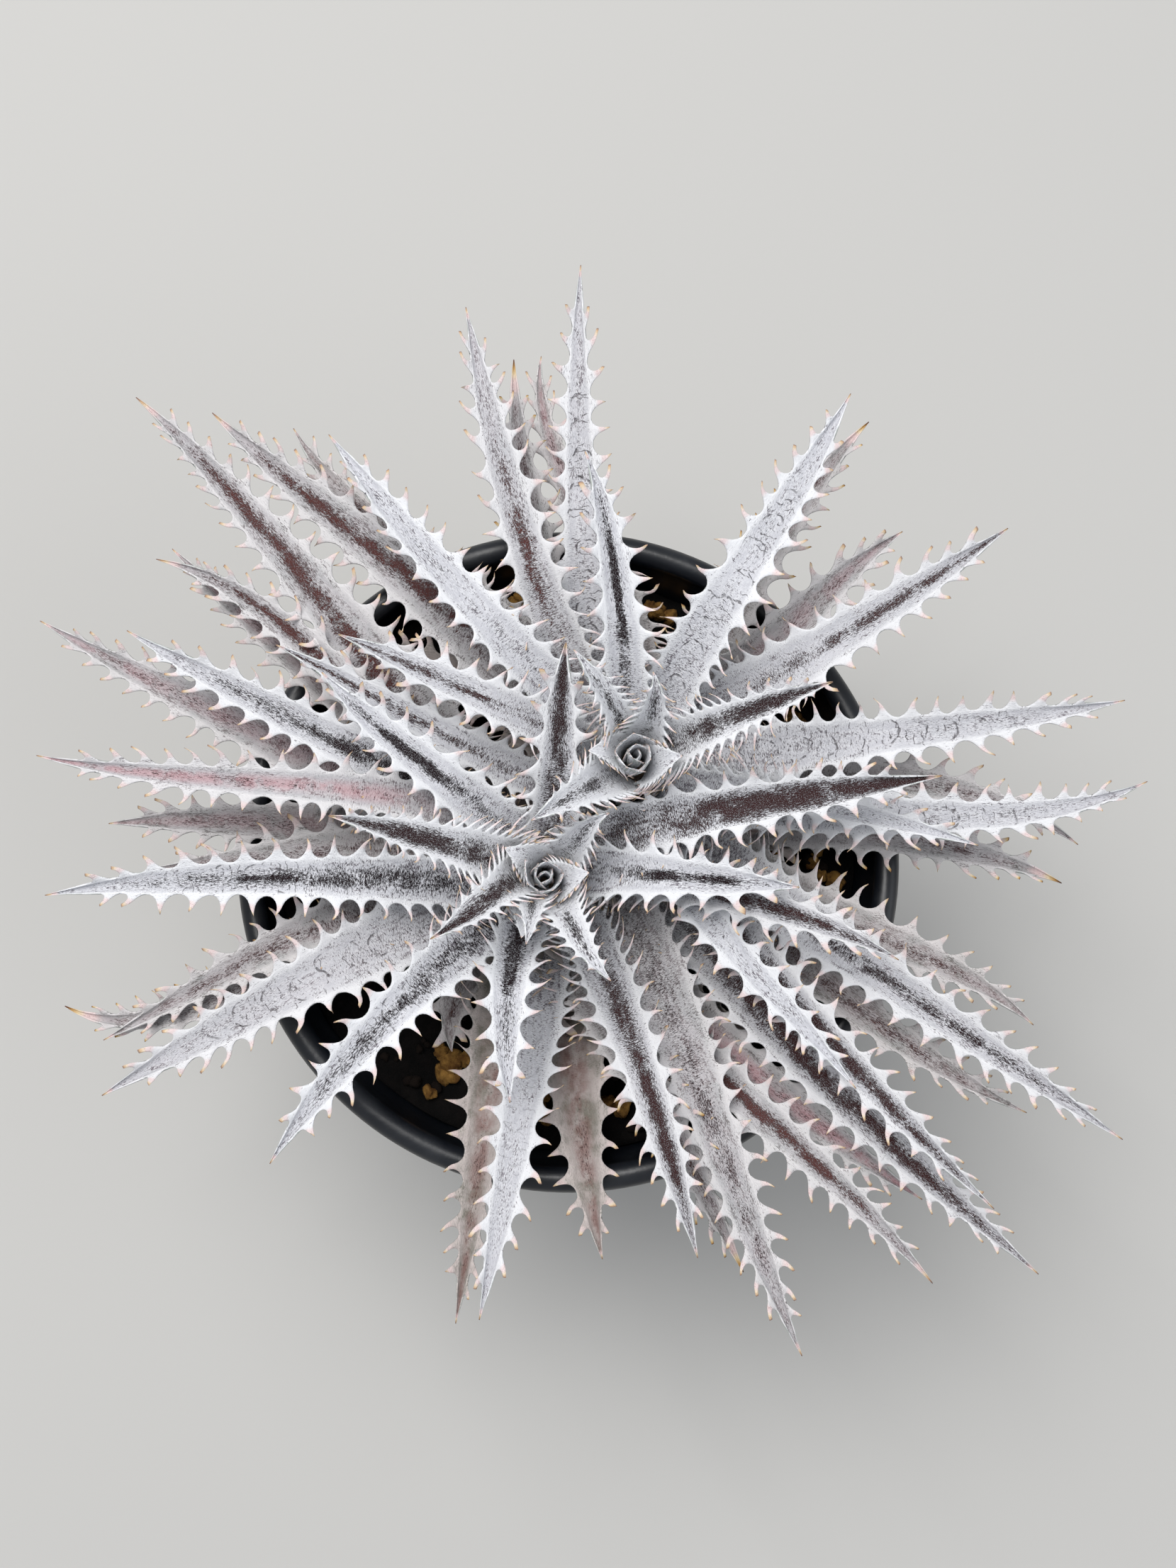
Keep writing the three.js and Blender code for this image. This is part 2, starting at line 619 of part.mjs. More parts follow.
// The bud of one crown, as a solid that stands on the height 0.
function budSolid(crown) {
  const axis = CROWNS[crown];
  const core = [
    [0, 0],
    [HEART_CORE_RADIUS, 0],
    [HEART_CORE_RADIUS, HEART_CORE_HEIGHT * 0.5],
    [HEART_CORE_RADIUS * 0.7, HEART_CORE_HEIGHT * 0.85],
    [0, HEART_CORE_HEIGHT],
  ];
  let bud = toSolid(turned(core, STEM_SIDES).translate(axis.x, axis.y, 0));
  for (let i = 0; i < HEART_LEAVES; i++) {
    const young = i / (HEART_LEAVES - 1);
    const { curve, outward } = youngLeafCurve(axis, radians(HEART_START[crown] + i * HEART_TURN), young);
    const width = mix(...HEART_LEAF_WIDTH, young);
    bud = bud.add(toothedSolid(new Blade(curve, { ...YOUNG_LEAF, width, heading: outward })));
  }
  return bud;
}

function toothedSolid(blade) {
  for (let stretch = 2; stretch < blade.stations.length; stretch++) {
    blade.teeth.set(stretch, 0);
    blade.teeth.set(-stretch, 0);
  }
  return toSolid(blade.geometry().geometry);
}

// A heart is a bud with the short leaves round it, in one solid, set down on the leaves below.
function layHeart(crown) {
  let heart = budSolid(crown).translate([0, 0, HEART_FOOT]);
  for (const row of HEART_LONG_LEAVES[crown]) {
    const curve = leafCurve(row, 1, HEART_FOOT + SHORT_LEAF_FOOT, STEM_NARROW / 2);
    curve.v1.z = mix(curve.v0.z, curve.v3.z, 0.7);
    heart = heart.add(toothedSolid(new Blade(curve, { ...SHORT_LEAF, width: row[7] })));
  }
  const [whole] = heart.decompose().sort((a, b) => b.volume() - a.volume());
  const geometry = toGeometry(whole);
  const all = new Float32Array(geometry.attributes.position.count);
  const level = Math.max(...liftNeeded(geometry, all));
  geometry.translate(0, 0, level);
  addToPile(geometry);
  return { geometry, foot: HEART_FOOT + level };
}

// ---------------------------------------------------------------- the plant
// Lays each layer, and in a layer the leaf that moves least first.
function layLeaves() {
  const blades = [];
  LEAVES.forEach((layer, level) => {
    const rank = level / (LEAVES.length - 1);
    let waiting = layer.map((row, place) => ({ row, place }));
    const laid = [];
    while (waiting.length > 0) {
      for (const leaf of waiting) leaf.blade = fitLeaf(leaf.row, rank);
      const next = waiting.reduce((easy, leaf) => (leaf.blade.effort < easy.blade.effort ? leaf : easy));
      addToPile(next.blade.geometry().geometry);
      laid[next.place] = next.blade;
      waiting = waiting.filter((leaf) => leaf !== next);
    }
    blades.push(...laid);
  });
  return blades;
}

function plantMeshes() {
  const pot = potGeometry();
  const soil = soilGeometry();
  addToPile(pot);
  addToPile(soil);
  const blades = layLeaves();
  const heartB = layHeart("B");
  const heartA = layHeart("A");
  const stem = stemGeometry(heartA.foot - GAP, heartB.foot - GAP);
  growTeeth(blades, [pot, soil, stem, heartA.geometry, heartB.geometry]);
  const leafName = (i) => `leaf_${String(i + 1).padStart(2, "0")}`;
  return [
    named("pot", pot, PLASTIC),
    named("soil", soil, EARTH),
    named("stem", stem, BARK),
    named("heart_a", heartA.geometry, BUD),
    named("heart_b", heartB.geometry, BUD),
    ...blades.map((blade, i) => named(leafName(i), blade.geometry().geometry, FUR)),
  ];
}

const plant = new THREE.Group();
plant.add(...plantMeshes());

export default plant;
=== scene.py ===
# %% [markdown]
# # A silver dyckia in its nursery pot
# A dyckia is a small, stiff bromeliad. This one has divided into two crowns. Its narrow leaves are
# channelled, carry hooked teeth on both margins and wear a silver-white felt of tiny scales, which is
# rubbed off along the middle, so that the dark skin shows there as freckles and stripes.
#
# The packed model gives the place of every leaf as a plain solid. A solid like that could be sculpted by
# hand, but then a moved leaf would have to be sculpted again. So each one is made again here by a function,
# as a fine mesh that follows its solid, and the finish is all procedural. Shapes are worked out in
# millimetres, and a mesh is turned into metres when it is made.

import math
from types import SimpleNamespace

import bpy
import numpy as np
from mathutils import Matrix, Vector, noise
from mathutils.bvhtree import BVHTree


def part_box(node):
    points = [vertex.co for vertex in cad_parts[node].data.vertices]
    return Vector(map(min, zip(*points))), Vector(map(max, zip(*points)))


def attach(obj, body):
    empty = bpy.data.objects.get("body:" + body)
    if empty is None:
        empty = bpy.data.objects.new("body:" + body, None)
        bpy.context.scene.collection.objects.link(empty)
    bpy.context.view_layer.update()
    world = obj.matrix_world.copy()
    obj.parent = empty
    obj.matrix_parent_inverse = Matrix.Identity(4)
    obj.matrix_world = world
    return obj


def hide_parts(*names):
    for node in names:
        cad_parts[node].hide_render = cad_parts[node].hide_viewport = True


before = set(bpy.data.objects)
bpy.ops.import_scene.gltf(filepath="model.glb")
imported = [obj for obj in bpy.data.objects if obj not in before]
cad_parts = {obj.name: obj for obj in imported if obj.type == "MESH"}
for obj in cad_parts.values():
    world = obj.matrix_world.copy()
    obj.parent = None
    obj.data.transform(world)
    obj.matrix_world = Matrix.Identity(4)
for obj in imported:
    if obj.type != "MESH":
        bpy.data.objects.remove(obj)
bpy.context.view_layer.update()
MM = 0.001  # in metres

# %% [markdown]
# ## Small helpers
# A mesh here is built as arrays: points in millimetres, faces with four corners, and named values for
# each point, such as how far along the leaf it lies. The values become attributes, which the materials
# read. Arrays make hundreds of thousands of faces in seconds, where mesh operators would take minutes.


# %% Numbers that blend
def blend(low, high, share):
    """low where the share is 0, high where it is 1."""
    return low + (high - low) * share


def smooth(start, end, value):
    """0 up to the start, 1 from the end on, and an even S between them."""
    share = np.clip((value - start) / (end - start), 0, 1)
    return share * share * (3 - 2 * share)


def heading(degrees):
    """A step of length 1 in that direction, seen from above."""
    return np.array([math.cos(math.radians(degrees)), math.sin(math.radians(degrees))])


print("halfway", blend(0, 1, 0.5), smooth(0, 1, 0.5))


# %% From arrays to a piece
class Pile:
    """Points in millimetres, faces and values that are gathered into one mesh."""

    def __init__(self):
        self.points, self.faces, self.values, self.count = [], [], {}, 0

    def add_points(self, points, **values):
        points = np.asarray(points, float).reshape(-1, 3)
        start = self.count
        self.points.append(points)
        self.count += len(points)
        for name, value in values.items():
            full = np.broadcast_to(np.asarray(value, float), (len(points),))
            self.values.setdefault(name, []).append(full)
        return start

    def add_faces(self, faces, flip=False):
        faces = np.asarray(faces, int).reshape(-1, 4)
        self.faces.append(faces[:, ::-1] if flip else faces)

    def add_pile(self, other):
        values = {name: np.concatenate(parts) for name, parts in other.values.items()}
        start = self.add_points(np.concatenate(other.points), **values)
        self.add_faces(np.concatenate(other.faces) + start)

    def piece(self, name, material):
        points = np.concatenate(self.points) * MM
        faces = np.concatenate(self.faces)
        mesh = bpy.data.meshes.new(name)
        mesh.vertices.add(len(points))
        mesh.vertices.foreach_set("co", points.ravel().astype(np.float32))
        mesh.loops.add(faces.size)
        mesh.loops.foreach_set("vertex_index", faces.ravel().astype(np.int32))
        mesh.polygons.add(len(faces))
        mesh.polygons.foreach_set("loop_start", np.arange(0, faces.size, 4, dtype=np.int32))
        mesh.update(calc_edges=True)
        mesh.polygons.foreach_set("use_smooth", np.ones(len(faces), bool))
        for label, parts in self.values.items():
            layer = mesh.attributes.new(label, "FLOAT", "POINT")
            layer.data.foreach_set("value", np.concatenate(parts).astype(np.float32))
        mesh.materials.append(material)
        piece = bpy.data.objects.new(name, mesh)
        bpy.context.scene.collection.objects.link(piece)
        return piece


print("an empty pile has", Pile().count, "points")


# %% Faces of grids, strips and caps
def grid_faces(first, rows, columns):
    """Faces of a grid of points whose rows follow one another from the point numbered first."""
    row, column = np.meshgrid(np.arange(rows - 1), np.arange(columns - 1), indexing="ij")
    corner = first + row * columns + column
    return np.stack([corner, corner + columns, corner + columns + 1, corner + 1], axis=-1).reshape(-1, 4)


def strip_faces(above, below):
    """Faces between two equally long lines of point numbers."""
    above, below = np.asarray(above), np.asarray(below)
    return np.stack([above[:-1], above[1:], below[1:], below[:-1]], axis=-1)


def cap_faces(ring):
    """A strip of faces across a ring of an even number of points."""
    half = len(ring) // 2
    return strip_faces(ring[:half], ring[::-1][:half])


print("faces of a 3 by 4 grid", len(grid_faces(0, 3, 4)))

# %% [markdown]
# ## Shader helpers
# Every material here is a tree of nodes. A few short functions add a node, feed its inputs with either a
# number or another node's output, and return its output, so that a tree reads like a formula.


# %% Nodes and sums
class Sums:
    """Adds nodes to one tree, which is a material's or a group's, and does sums with their outputs."""

    def __init__(self, tree):
        self.tree = tree

    def feed(self, socket, value):
        if isinstance(value, bpy.types.NodeSocket):
            self.tree.links.new(value, socket)
        elif value is not None:
            socket.default_value = value

    def node(self, kind, *inputs, **settings):
        node = self.tree.nodes.new(kind)
        for name, value in settings.items():
            setattr(node, name, value)
        for socket, value in zip(node.inputs, inputs):
            self.feed(socket, value)
        return node

    def math(self, operation, a, b=None, clamp=False):
        return self.node("ShaderNodeMath", a, b, operation=operation, use_clamp=clamp).outputs[0]

    def times(self, a, b):
        return self.math("MULTIPLY", a, b)

    def plus(self, a, b, clamp=False):
        return self.math("ADD", a, b, clamp)

    def inverse(self, a):
        return self.math("SUBTRACT", 1.0, a, clamp=True)

    def spread(self, value, low, high, to_low=0.0, to_high=1.0):
        """Turns the span from low to high into 0 to 1, or to other ends, with soft shoulders."""
        settings = {"interpolation_type": "SMOOTHSTEP"}
        return self.node("ShaderNodeMapRange", value, low, high, to_low, to_high, **settings).outputs[0]


print("sums", [name for name in vars(Sums) if not name.startswith("_")])


# %% Colours, places and noise
class Wiring(Sums):
    """Also mixes colours, reads the values of the mesh and makes noise."""

    def colour(self, share, a, b):
        """Colour a where the share is 0, colour b where it is 1."""
        node = self.node("ShaderNodeMix", data_type="RGBA", clamp_factor=True)
        for name, value in (("Factor_Float", share), ("A_Color", a), ("B_Color", b)):
            self.feed(next(s for s in node.inputs if s.identifier == name), value)
        return next(s for s in node.outputs if s.identifier == "Result_Color")

    def value(self, name):
        return self.node("ShaderNodeAttribute", attribute_name=name).outputs["Fac"]

    def place(self, x, y, z=0.0):
        return self.node("ShaderNodeCombineXYZ", x, y, z).outputs[0]

    def stretch(self, vector, scale):
        node = self.node("ShaderNodeVectorMath", vector, operation="MULTIPLY")
        self.feed(node.inputs[1], scale)
        return node.outputs[0]

    def noise(self, vector, scale, detail=2.0, roughness=0.5, distortion=0.0):
        node = self.node("ShaderNodeTexNoise")
        pairs = {"Vector": vector, "Scale": scale, "Detail": detail}
        pairs |= {"Roughness": roughness, "Distortion": distortion}
        for name, value in pairs.items():
            self.feed(node.inputs[name], value)
        return node.outputs[0]

    def ramp(self, value, stops):
        node = self.node("ShaderNodeValToRGB", value)
        elements = node.color_ramp.elements
        while len(elements) < len(stops):
            elements.new(0.5)
        for element, (position, colour) in zip(elements, stops):
            element.position = position
            element.color = (*colour, 1)
        return node.outputs[0]

    def use(self, group, **inputs):
        """Places a group. Its outputs are looked up by name in what comes back."""
        node = self.node("ShaderNodeGroup", node_tree=group)
        for name, value in inputs.items():
            self.feed(node.inputs[name], value)
        return node.outputs


print("and", [name for name in vars(Wiring) if not name.startswith("_")])


# %% Groups and materials
def start_group(name, inputs, outputs):
    """A shader group with those inputs and outputs, and the wiring of its inside."""
    group = bpy.data.node_groups.new(name, "ShaderNodeTree")
    kinds = {"value": "NodeSocketFloat", "colour": "NodeSocketColor", "vector": "NodeSocketVector"}
    for label, kind in inputs.items():
        group.interface.new_socket(label, in_out="INPUT", socket_type=kinds[kind])
    for label, kind in outputs.items():
        group.interface.new_socket(label, in_out="OUTPUT", socket_type=kinds[kind])
    wires = Wiring(group)
    entry = wires.node("NodeGroupInput").outputs
    leave = wires.node("NodeGroupOutput").inputs
    return group, wires, entry, leave


def start_material(name, roughness, **constants):
    """A material with a Principled shader. What is the same all over is set on the shader itself."""
    material = bpy.data.materials.new(name)
    material.use_nodes = True
    shader = material.node_tree.nodes["Principled BSDF"]
    shader.inputs["Roughness"].default_value = roughness
    for label, value in constants.items():
        shader.inputs[label.replace("_", " ")].default_value = value
    return material, Wiring(material.node_tree), shader.inputs


def finish_material(wires, inputs, colour, roughness=None, height=None, depth=0.0002):
    """Feeds the shader. depth is the height of a full bump, in metres."""
    wires.feed(inputs["Base Color"], colour)
    wires.feed(inputs["Roughness"], roughness)
    if height is not None:
        bump = wires.node("ShaderNodeBump")
        bump.inputs["Distance"].default_value = depth
        wires.feed(bump.inputs["Height"], height)
        wires.feed(inputs["Normal"], bump.outputs[0])


print(finish_material.__doc__)

# %% [markdown]
# ## Felt, streaks and imprints
# The felt is a coat of tiny, star-shaped scales. Seen from a hand away it is a soft, uneven white, a
# little lilac in the shade. Where a leaf rubbed against its neighbours in the bud, the felt is combed
# off in short dashes, with flecks of it left in the dark. Near the root the dashes run across the leaf,
# and further out they run along it. The neighbours' teeth also press rows of rounded scallops into it.
#
# A painted texture could show all this, but it would have to be fitted to each leaf, and it blurs close
# by. Noise needs no painting and is different on every leaf. It is drawn in the leaf's own millimetres,
# along and across, so the dashes follow each leaf round its bends. Each effect is a group, because the
# long leaves and the young ones both need it, with their own values.

# %% Felt
# The felt is a white coat with fine gaps in it, and there are more gaps where its thin input is high: where
# the felt is thin, and where the leaf's material paints shade with them. They run across the leaf near its
# root and along it further out, as Turn goes from 0 to 1. A stretch says how many waves of noise go into a
# millimetre along the leaf and across it.
CLOUD_STRETCH = (0.3, 0.9, 1)
GAPS_ACROSS = (5.5, 1.7, 1)
GAPS_ALONG = (1.6, 5.5, 1)
felt_group, wires, entry, leave = start_group(
    "felt", {"Place": "vector", "Turn": "value", "Thin": "value"},
    {"Tone": "value", "Cloud": "value", "Height": "value"},
)
cloud = wires.noise(wires.stretch(entry["Place"], CLOUD_STRETCH), 1.0, 3.0, 0.6)
crosswise = wires.noise(wires.stretch(entry["Place"], GAPS_ACROSS), 1.0, 3.0, 0.7, 0.3)
lengthwise = wires.noise(wires.stretch(entry["Place"], GAPS_ALONG), 1.0, 3.0, 0.7, 0.3)
brushed = wires.colour(entry["Turn"], crosswise, lengthwise)
level = wires.plus(wires.times(entry["Thin"], 0.2), wires.times(cloud, 0.7))
level = wires.plus(level, -0.05)
wires.feed(leave["Tone"], wires.spread(wires.math("SUBTRACT", brushed, level), -0.07, 0.08))
soft = wires.plus(wires.times(brushed, 0.6), wires.times(cloud, 0.4))
wires.feed(leave["Cloud"], wires.spread(soft, 0.36, 0.64))
wires.feed(leave["Height"], wires.plus(brushed, wires.times(cloud, 0.5)))
print("group", felt_group.name)

# %% Streaks
# Dark dashes where Cover says that the felt is rubbed off. The more Cover there is, the lower is the edge
# that the noise has to pass, so that dashes join to a stripe. The flecks are felt that is left in them.
DASHES_ACROSS = (4.6, 1.5, 1)
DASHES_ALONG = (1.4, 4.8, 1)
FLECK_STRETCH = (4.2, 6.5, 1)
streaks_group, wires, entry, leave = start_group(
    "streaks", {"Place": "vector", "Turn": "value", "Cover": "value"}, {"Mask": "value"}
)
crosswise = wires.noise(wires.stretch(entry["Place"], DASHES_ACROSS), 1.0, 4.0, 0.8, 0.4)
lengthwise = wires.noise(wires.stretch(entry["Place"], DASHES_ALONG), 1.0, 4.0, 0.8, 0.4)
flow = wires.colour(entry["Turn"], crosswise, lengthwise)
edge = wires.node("ShaderNodeMapRange", entry["Cover"], 0.0, 2.4, 0.665, 0.33).outputs[0]
over = wires.math("SUBTRACT", flow, edge)
mask = wires.times(wires.spread(over, -0.015, 0.05), wires.spread(entry["Cover"], 0.0, 0.1))
flecks = wires.spread(wires.noise(wires.stretch(entry["Place"], FLECK_STRETCH), 1.0, 2.0, 0.6), 0.53, 0.62)
flecks = wires.times(flecks, wires.spread(entry["Cover"], 1.2, 2.1, 0.85, 0.4))
wires.feed(leave["Mask"], wires.times(mask, wires.inverse(flecks)))
print("group", streaks_group.name)

# %% Imprints
# Scallops in a row: the outline of an oval round a point that is drawn anew for each step along the leaf.
# Pitch is the distance between two of them. The outline is open towards the root and broken up by noise.
# Crack is a thin cross line, which shows only here and there.
OVAL_RADIUS = 0.4  # of the pitch
WANDER = 3.2  # how far the row strays from the middle line, in millimetres
imprints_group, wires, entry, leave = start_group(
    "imprints",
    {"Along": "value", "Across": "value", "Place": "vector", "Pitch": "value"},
    {"Line": "value", "Inside": "value", "Crack": "value"},
)
wander = wires.times(wires.math("SUBTRACT", wires.noise(entry["Place"], 0.3, 2.0), 0.5), WANDER)
steps = wires.math("DIVIDE", wires.plus(entry["Along"], wander), entry["Pitch"])
cell = wires.math("FLOOR", steps)
lot = wires.node("ShaderNodeTexWhiteNoise", noise_dimensions="2D")
wires.feed(lot.inputs["Vector"], wires.place(cell, wires.times(entry["Pitch"], 3.0)))
lots = wires.node("ShaderNodeSeparateColor", lot.outputs["Color"]).outputs
forward = wires.plus(wires.math("FRACT", steps), wires.times(wires.math("SUBTRACT", lots[0], 0.5), 0.25))
offset = wires.times(wires.math("SUBTRACT", forward, 0.5), entry["Pitch"])
offset = wires.times(offset, wires.plus(wires.times(lots[1], 0.5), 0.85))
aside = wires.plus(entry["Across"], wires.times(wires.math("SUBTRACT", lots[2], 0.5), 2.2))
aside = wires.plus(aside, wires.times(wander, 0.4))
reach = wires.math("SQRT", wires.plus(wires.math("POWER", offset, 2.0), wires.math("POWER", aside, 2.0)))
radius = wires.times(entry["Pitch"], OVAL_RADIUS)
gap = wires.math("ABSOLUTE", wires.math("SUBTRACT", reach, radius))
broken = wires.spread(wires.noise(entry["Place"], 0.8, 3.0), 0.40, 0.60)
crescent = wires.spread(wires.math("DIVIDE", offset, radius), -0.35, 0.5)
wires.feed(leave["Line"], wires.times(wires.times(wires.spread(gap, 0.26, 0.05), broken), crescent))
wires.feed(leave["Inside"], wires.spread(wires.math("SUBTRACT", radius, reach), -0.2, 0.9))
bent = wires.plus(wires.times(entry["Along"], 0.62), wires.times(wires.noise(entry["Place"], 0.5, 2.0), 1.6))
crack = wires.math("ABSOLUTE", wires.math("SUBTRACT", wires.math("FRACT", bent), 0.5))
cracked = wires.spread(wires.noise(entry["Place"], 0.55, 2.0), 0.5, 0.62)
wires.feed(leave["Crack"], wires.times(wires.spread(crack, 0.09, 0.02), cracked))
print("group", imprints_group.name)

# %% [markdown]
# ## Spines
# A tooth starts as white as the leaf. Towards its point the felt ends and the flesh shows through in
# pink with tiny red dots, then the dry point turns cream, tan and brown. The tip of the leaf is such a
# point as well. A material for each part of a tooth would leave hard edges between them, so one group
# colours them all by how far out on the tooth a point lies.

# %% Spine colours
PINK = (0.78, 0.62, 0.61, 1)
RED_DOT = (0.42, 0.12, 0.11, 1)
CREAM, TAN = (0.78, 0.72, 0.60), (0.76, 0.64, 0.42)
DRY_BROWN, BURNT = (0.55, 0.34, 0.13), (0.14, 0.05, 0.03)
spines_group, wires, entry, leave = start_group(
    "spines", {"Base": "colour", "Tooth": "value", "Blush": "value", "Rust": "value", "Place": "vector"},
    {"Colour": "colour"},
)
dots = wires.spread(wires.noise(entry["Place"], 4.0, 1.0), 0.62, 0.70)
pink = wires.colour(wires.times(dots, 0.55), PINK, RED_DOT)
blushed = wires.spread(entry["Tooth"], 0.3, 0.62)
flesh = wires.colour(wires.times(blushed, entry["Blush"]), entry["Base"], pink)
dry = wires.ramp(entry["Tooth"], [(0.0, CREAM), (0.85, TAN), (0.95, DRY_BROWN), (1.0, BURNT)])
dried = wires.spread(entry["Tooth"], 0.70, 0.90)
wires.feed(leave["Colour"], wires.colour(wires.times(dried, entry["Rust"]), flesh, dry))
print("group", spines_group.name)

# %% [markdown]
# ## The leaf's finish
# The values on the mesh say where a point lies: along and across the leaf in millimetres, its share of
# the way to the tip, its share of the way to the margin, and how far out on a tooth it is. Other values
# are the same all over one leaf, such as its age, and set it apart from its neighbours. So 53 leaves of
# different colours need one material, where each could have had its own.
#
# The colour is built from below, as on the leaf: the white coat, the yellowed coat of an old leaf over
# it, a blush, the dark skin in streaks and scallops, the ribbed underside, and last the spines.

# %% Colours of a leaf
FELT_WHITE = (0.80, 0.81, 0.84, 1)
FELT_GREY = (0.53, 0.535, 0.58, 1)
FELT_SHADE = (0.17, 0.155, 0.18, 1)
BLUSH = (0.50, 0.26, 0.285, 1)
SKIN = (0.012, 0.005, 0.007, 1)
BROWN_SKIN = (0.095, 0.034, 0.031, 1)
OLD_RIM = (0.66, 0.59, 0.57, 1)
OLD_FELT = (0.42, 0.375, 0.36, 1)
OLD_BROWN = (0.19, 0.098, 0.086, 1)
OLD_STAIN = (0.155, 0.16, 0.125, 1)
UNDERSIDE = (0.40, 0.43, 0.41, 1)
FELT_DEPTH = 0.00025  # in metres
print("colours from", SKIN[:3], "to", FELT_WHITE[:3])


# %% Where a point lies
PLACE_VALUES = ("along", "across", "share", "side", "tooth", "under", "rubbed")
PLAIN_VALUES = ("seed", "age", "prints", "rust", "blush", "flush", "brown")  # the same all over a leaf


def read_leaf(wires):
    """The values of the mesh, and what follows from them: the place for the noise, the way that the
    dashes run, patches, stains, the upper side and the white rim along the margins."""
    leaf = SimpleNamespace(**{name: wires.value(name) for name in PLACE_VALUES + PLAIN_VALUES})
    leaf.place = wires.place(leaf.along, leaf.across, leaf.seed)
    leaf.turn = wires.spread(leaf.share, 0.35, 0.6)
    leaf.upper = wires.inverse(leaf.under)
    leaf.rim = wires.spread(leaf.side, 0.6, 1.12)
    leaf.patches = wires.noise(wires.stretch(leaf.place, (0.6, 1, 1)), 0.33, 3.0, 0.6)
    leaf.stain = wires.spread(wires.noise(leaf.place, 0.16, 4.0, 0.65), 0.42, 0.65)
    flat_part = wires.times(wires.spread(leaf.share, 0.1, 0.2), wires.spread(leaf.share, 0.85, 0.65))
    leaf.inner = wires.times(wires.spread(leaf.side, 0.95, 0.8), flat_part)
    return leaf


print("values on each leaf", len(PLACE_VALUES + PLAIN_VALUES))


# %% The coat
def white_coat(wires, leaf, felt, pressed, paleness):
    """Felt from grey to white, whiter along the margins, with gaps and with the pressed ovals paler."""
    tone = wires.plus(felt["Tone"], wires.times(pressed, 0.2), clamp=True)
    light = wires.plus(wires.times(felt["Cloud"], 0.65), wires.times(leaf.rim, 0.85), clamp=True)
    light = wires.plus(light, paleness, clamp=True)
    return wires.colour(tone, FELT_SHADE, wires.colour(light, FELT_GREY, FELT_WHITE))


def old_coat(wires, leaf, felt):
    """The coat of an old leaf: stained in patches, brown along the middle and paler on the rim."""
    middle = wires.times(wires.spread(leaf.side, 0.85, 0.1), wires.spread(leaf.share, 0.1, 0.4))
    browned = wires.times(middle, wires.spread(leaf.patches, 0.36, 0.6, 0.1, 0.8))
    pale = wires.times(felt["Tone"], wires.plus(wires.times(leaf.rim, 0.5), 0.12))
    old = wires.colour(wires.times(leaf.stain, 0.8), OLD_FELT, OLD_STAIN)
    old = wires.colour(browned, old, OLD_BROWN)
    return wires.colour(pale, old, OLD_RIM)


def blushed_coat(wires, leaf, coat):
    """Pink along the middle of a rosy leaf, less where it is stained."""
    blushing = wires.times(wires.spread(leaf.side, 0.8, 0.05), wires.spread(leaf.share, 0.15, 0.4))
    blushing = wires.times(blushing, wires.spread(leaf.stain, 0.9, 0.1, 0.3, 1.0))
    return wires.colour(wires.times(leaf.blush, blushing), coat, BLUSH)


print("coats", white_coat.__name__, old_coat.__name__, blushed_coat.__name__)


# %% Leaf materials
def leaf_material(name, line_pitch, sheen, paleness):
    """line_pitch is the distance between two scallops. paleness is for young leaves, whose felt is
    thick and even."""
    material, wires, inputs = start_material(
        name, 0.85, Sheen_Weight=sheen, Sheen_Roughness=0.5, Specular_IOR_Level=0.15
    )
    leaf = read_leaf(wires)
    cover = wires.times(leaf.rubbed, wires.spread(leaf.patches, 0.36, 0.62, 0.78, 1.3))
    cover = wires.times(cover, leaf.upper)
    streaks = wires.use(streaks_group, Place=leaf.place, Turn=leaf.turn, Cover=cover)["Mask"]
    scallops = wires.use(
        imprints_group, Along=leaf.along, Across=leaf.across, Place=leaf.place, Pitch=line_pitch
    )
    # Felt is darker towards the root and on old leaves: partly worn thin, partly painted shade of the crowded
    # crown and of the leaves above.
    near = wires.times(wires.spread(leaf.share, 0.35, 0.02), 1 - paleness)
    thinness_and_shade = wires.plus(wires.times(wires.inverse(leaf.rim), 0.4), wires.times(near, 0.5))
    thinness_and_shade = wires.plus(thinness_and_shade, wires.times(leaf.age, 0.6))
    felt = wires.use(felt_group, Place=leaf.place, Turn=leaf.turn, Thin=thinness_and_shade)

    pressed = wires.times(wires.times(scallops["Inside"], leaf.prints), leaf.inner)
    white = white_coat(wires, leaf, felt, pressed, paleness)
    coat = blushed_coat(wires, leaf, wires.colour(leaf.age, white, old_coat(wires, leaf, felt)))

    lines = wires.plus(wires.times(scallops["Line"], 0.8), wires.times(scallops["Crack"], 0.9), clamp=True)
    inked = wires.times(wires.times(lines, leaf.prints), wires.times(leaf.inner, leaf.upper))
    marked = wires.plus(streaks, wires.times(inked, 0.75), clamp=True)
    skin = wires.colour(wires.plus(leaf.age, leaf.brown, clamp=True), SKIN, BROWN_SKIN)
    ribs = wires.noise(wires.stretch(leaf.place, (0.12, 2.2, 1)), 1.0, 2.0)
    below = wires.colour(wires.spread(ribs, 0.4, 0.6), UNDERSIDE, coat)
    body = wires.colour(leaf.under, wires.colour(marked, coat, skin), below)
    spined = wires.use(
        spines_group, Base=body, Tooth=leaf.tooth, Blush=leaf.flush, Rust=leaf.rust, Place=leaf.place
    )["Colour"]

    furrows = wires.times(wires.times(scallops["Line"], leaf.prints), leaf.inner)
    height = wires.math("SUBTRACT", felt["Height"], wires.times(marked, 0.8))
    height = wires.math("SUBTRACT", height, furrows)
    rough = wires.spread(leaf.tooth, 0.6, 0.9, 0.85, 0.5)
    finish_material(wires, inputs, spined, rough, height, FELT_DEPTH)
    return material


leaf_fur = leaf_material("leaf_fur", line_pitch=6.2, sheen=0.04, paleness=0.0)
young_leaf_fur = leaf_material("young_leaf_fur", line_pitch=3.0, sheen=0.05, paleness=0.3)
print("materials", leaf_fur.name, young_leaf_fur.name)

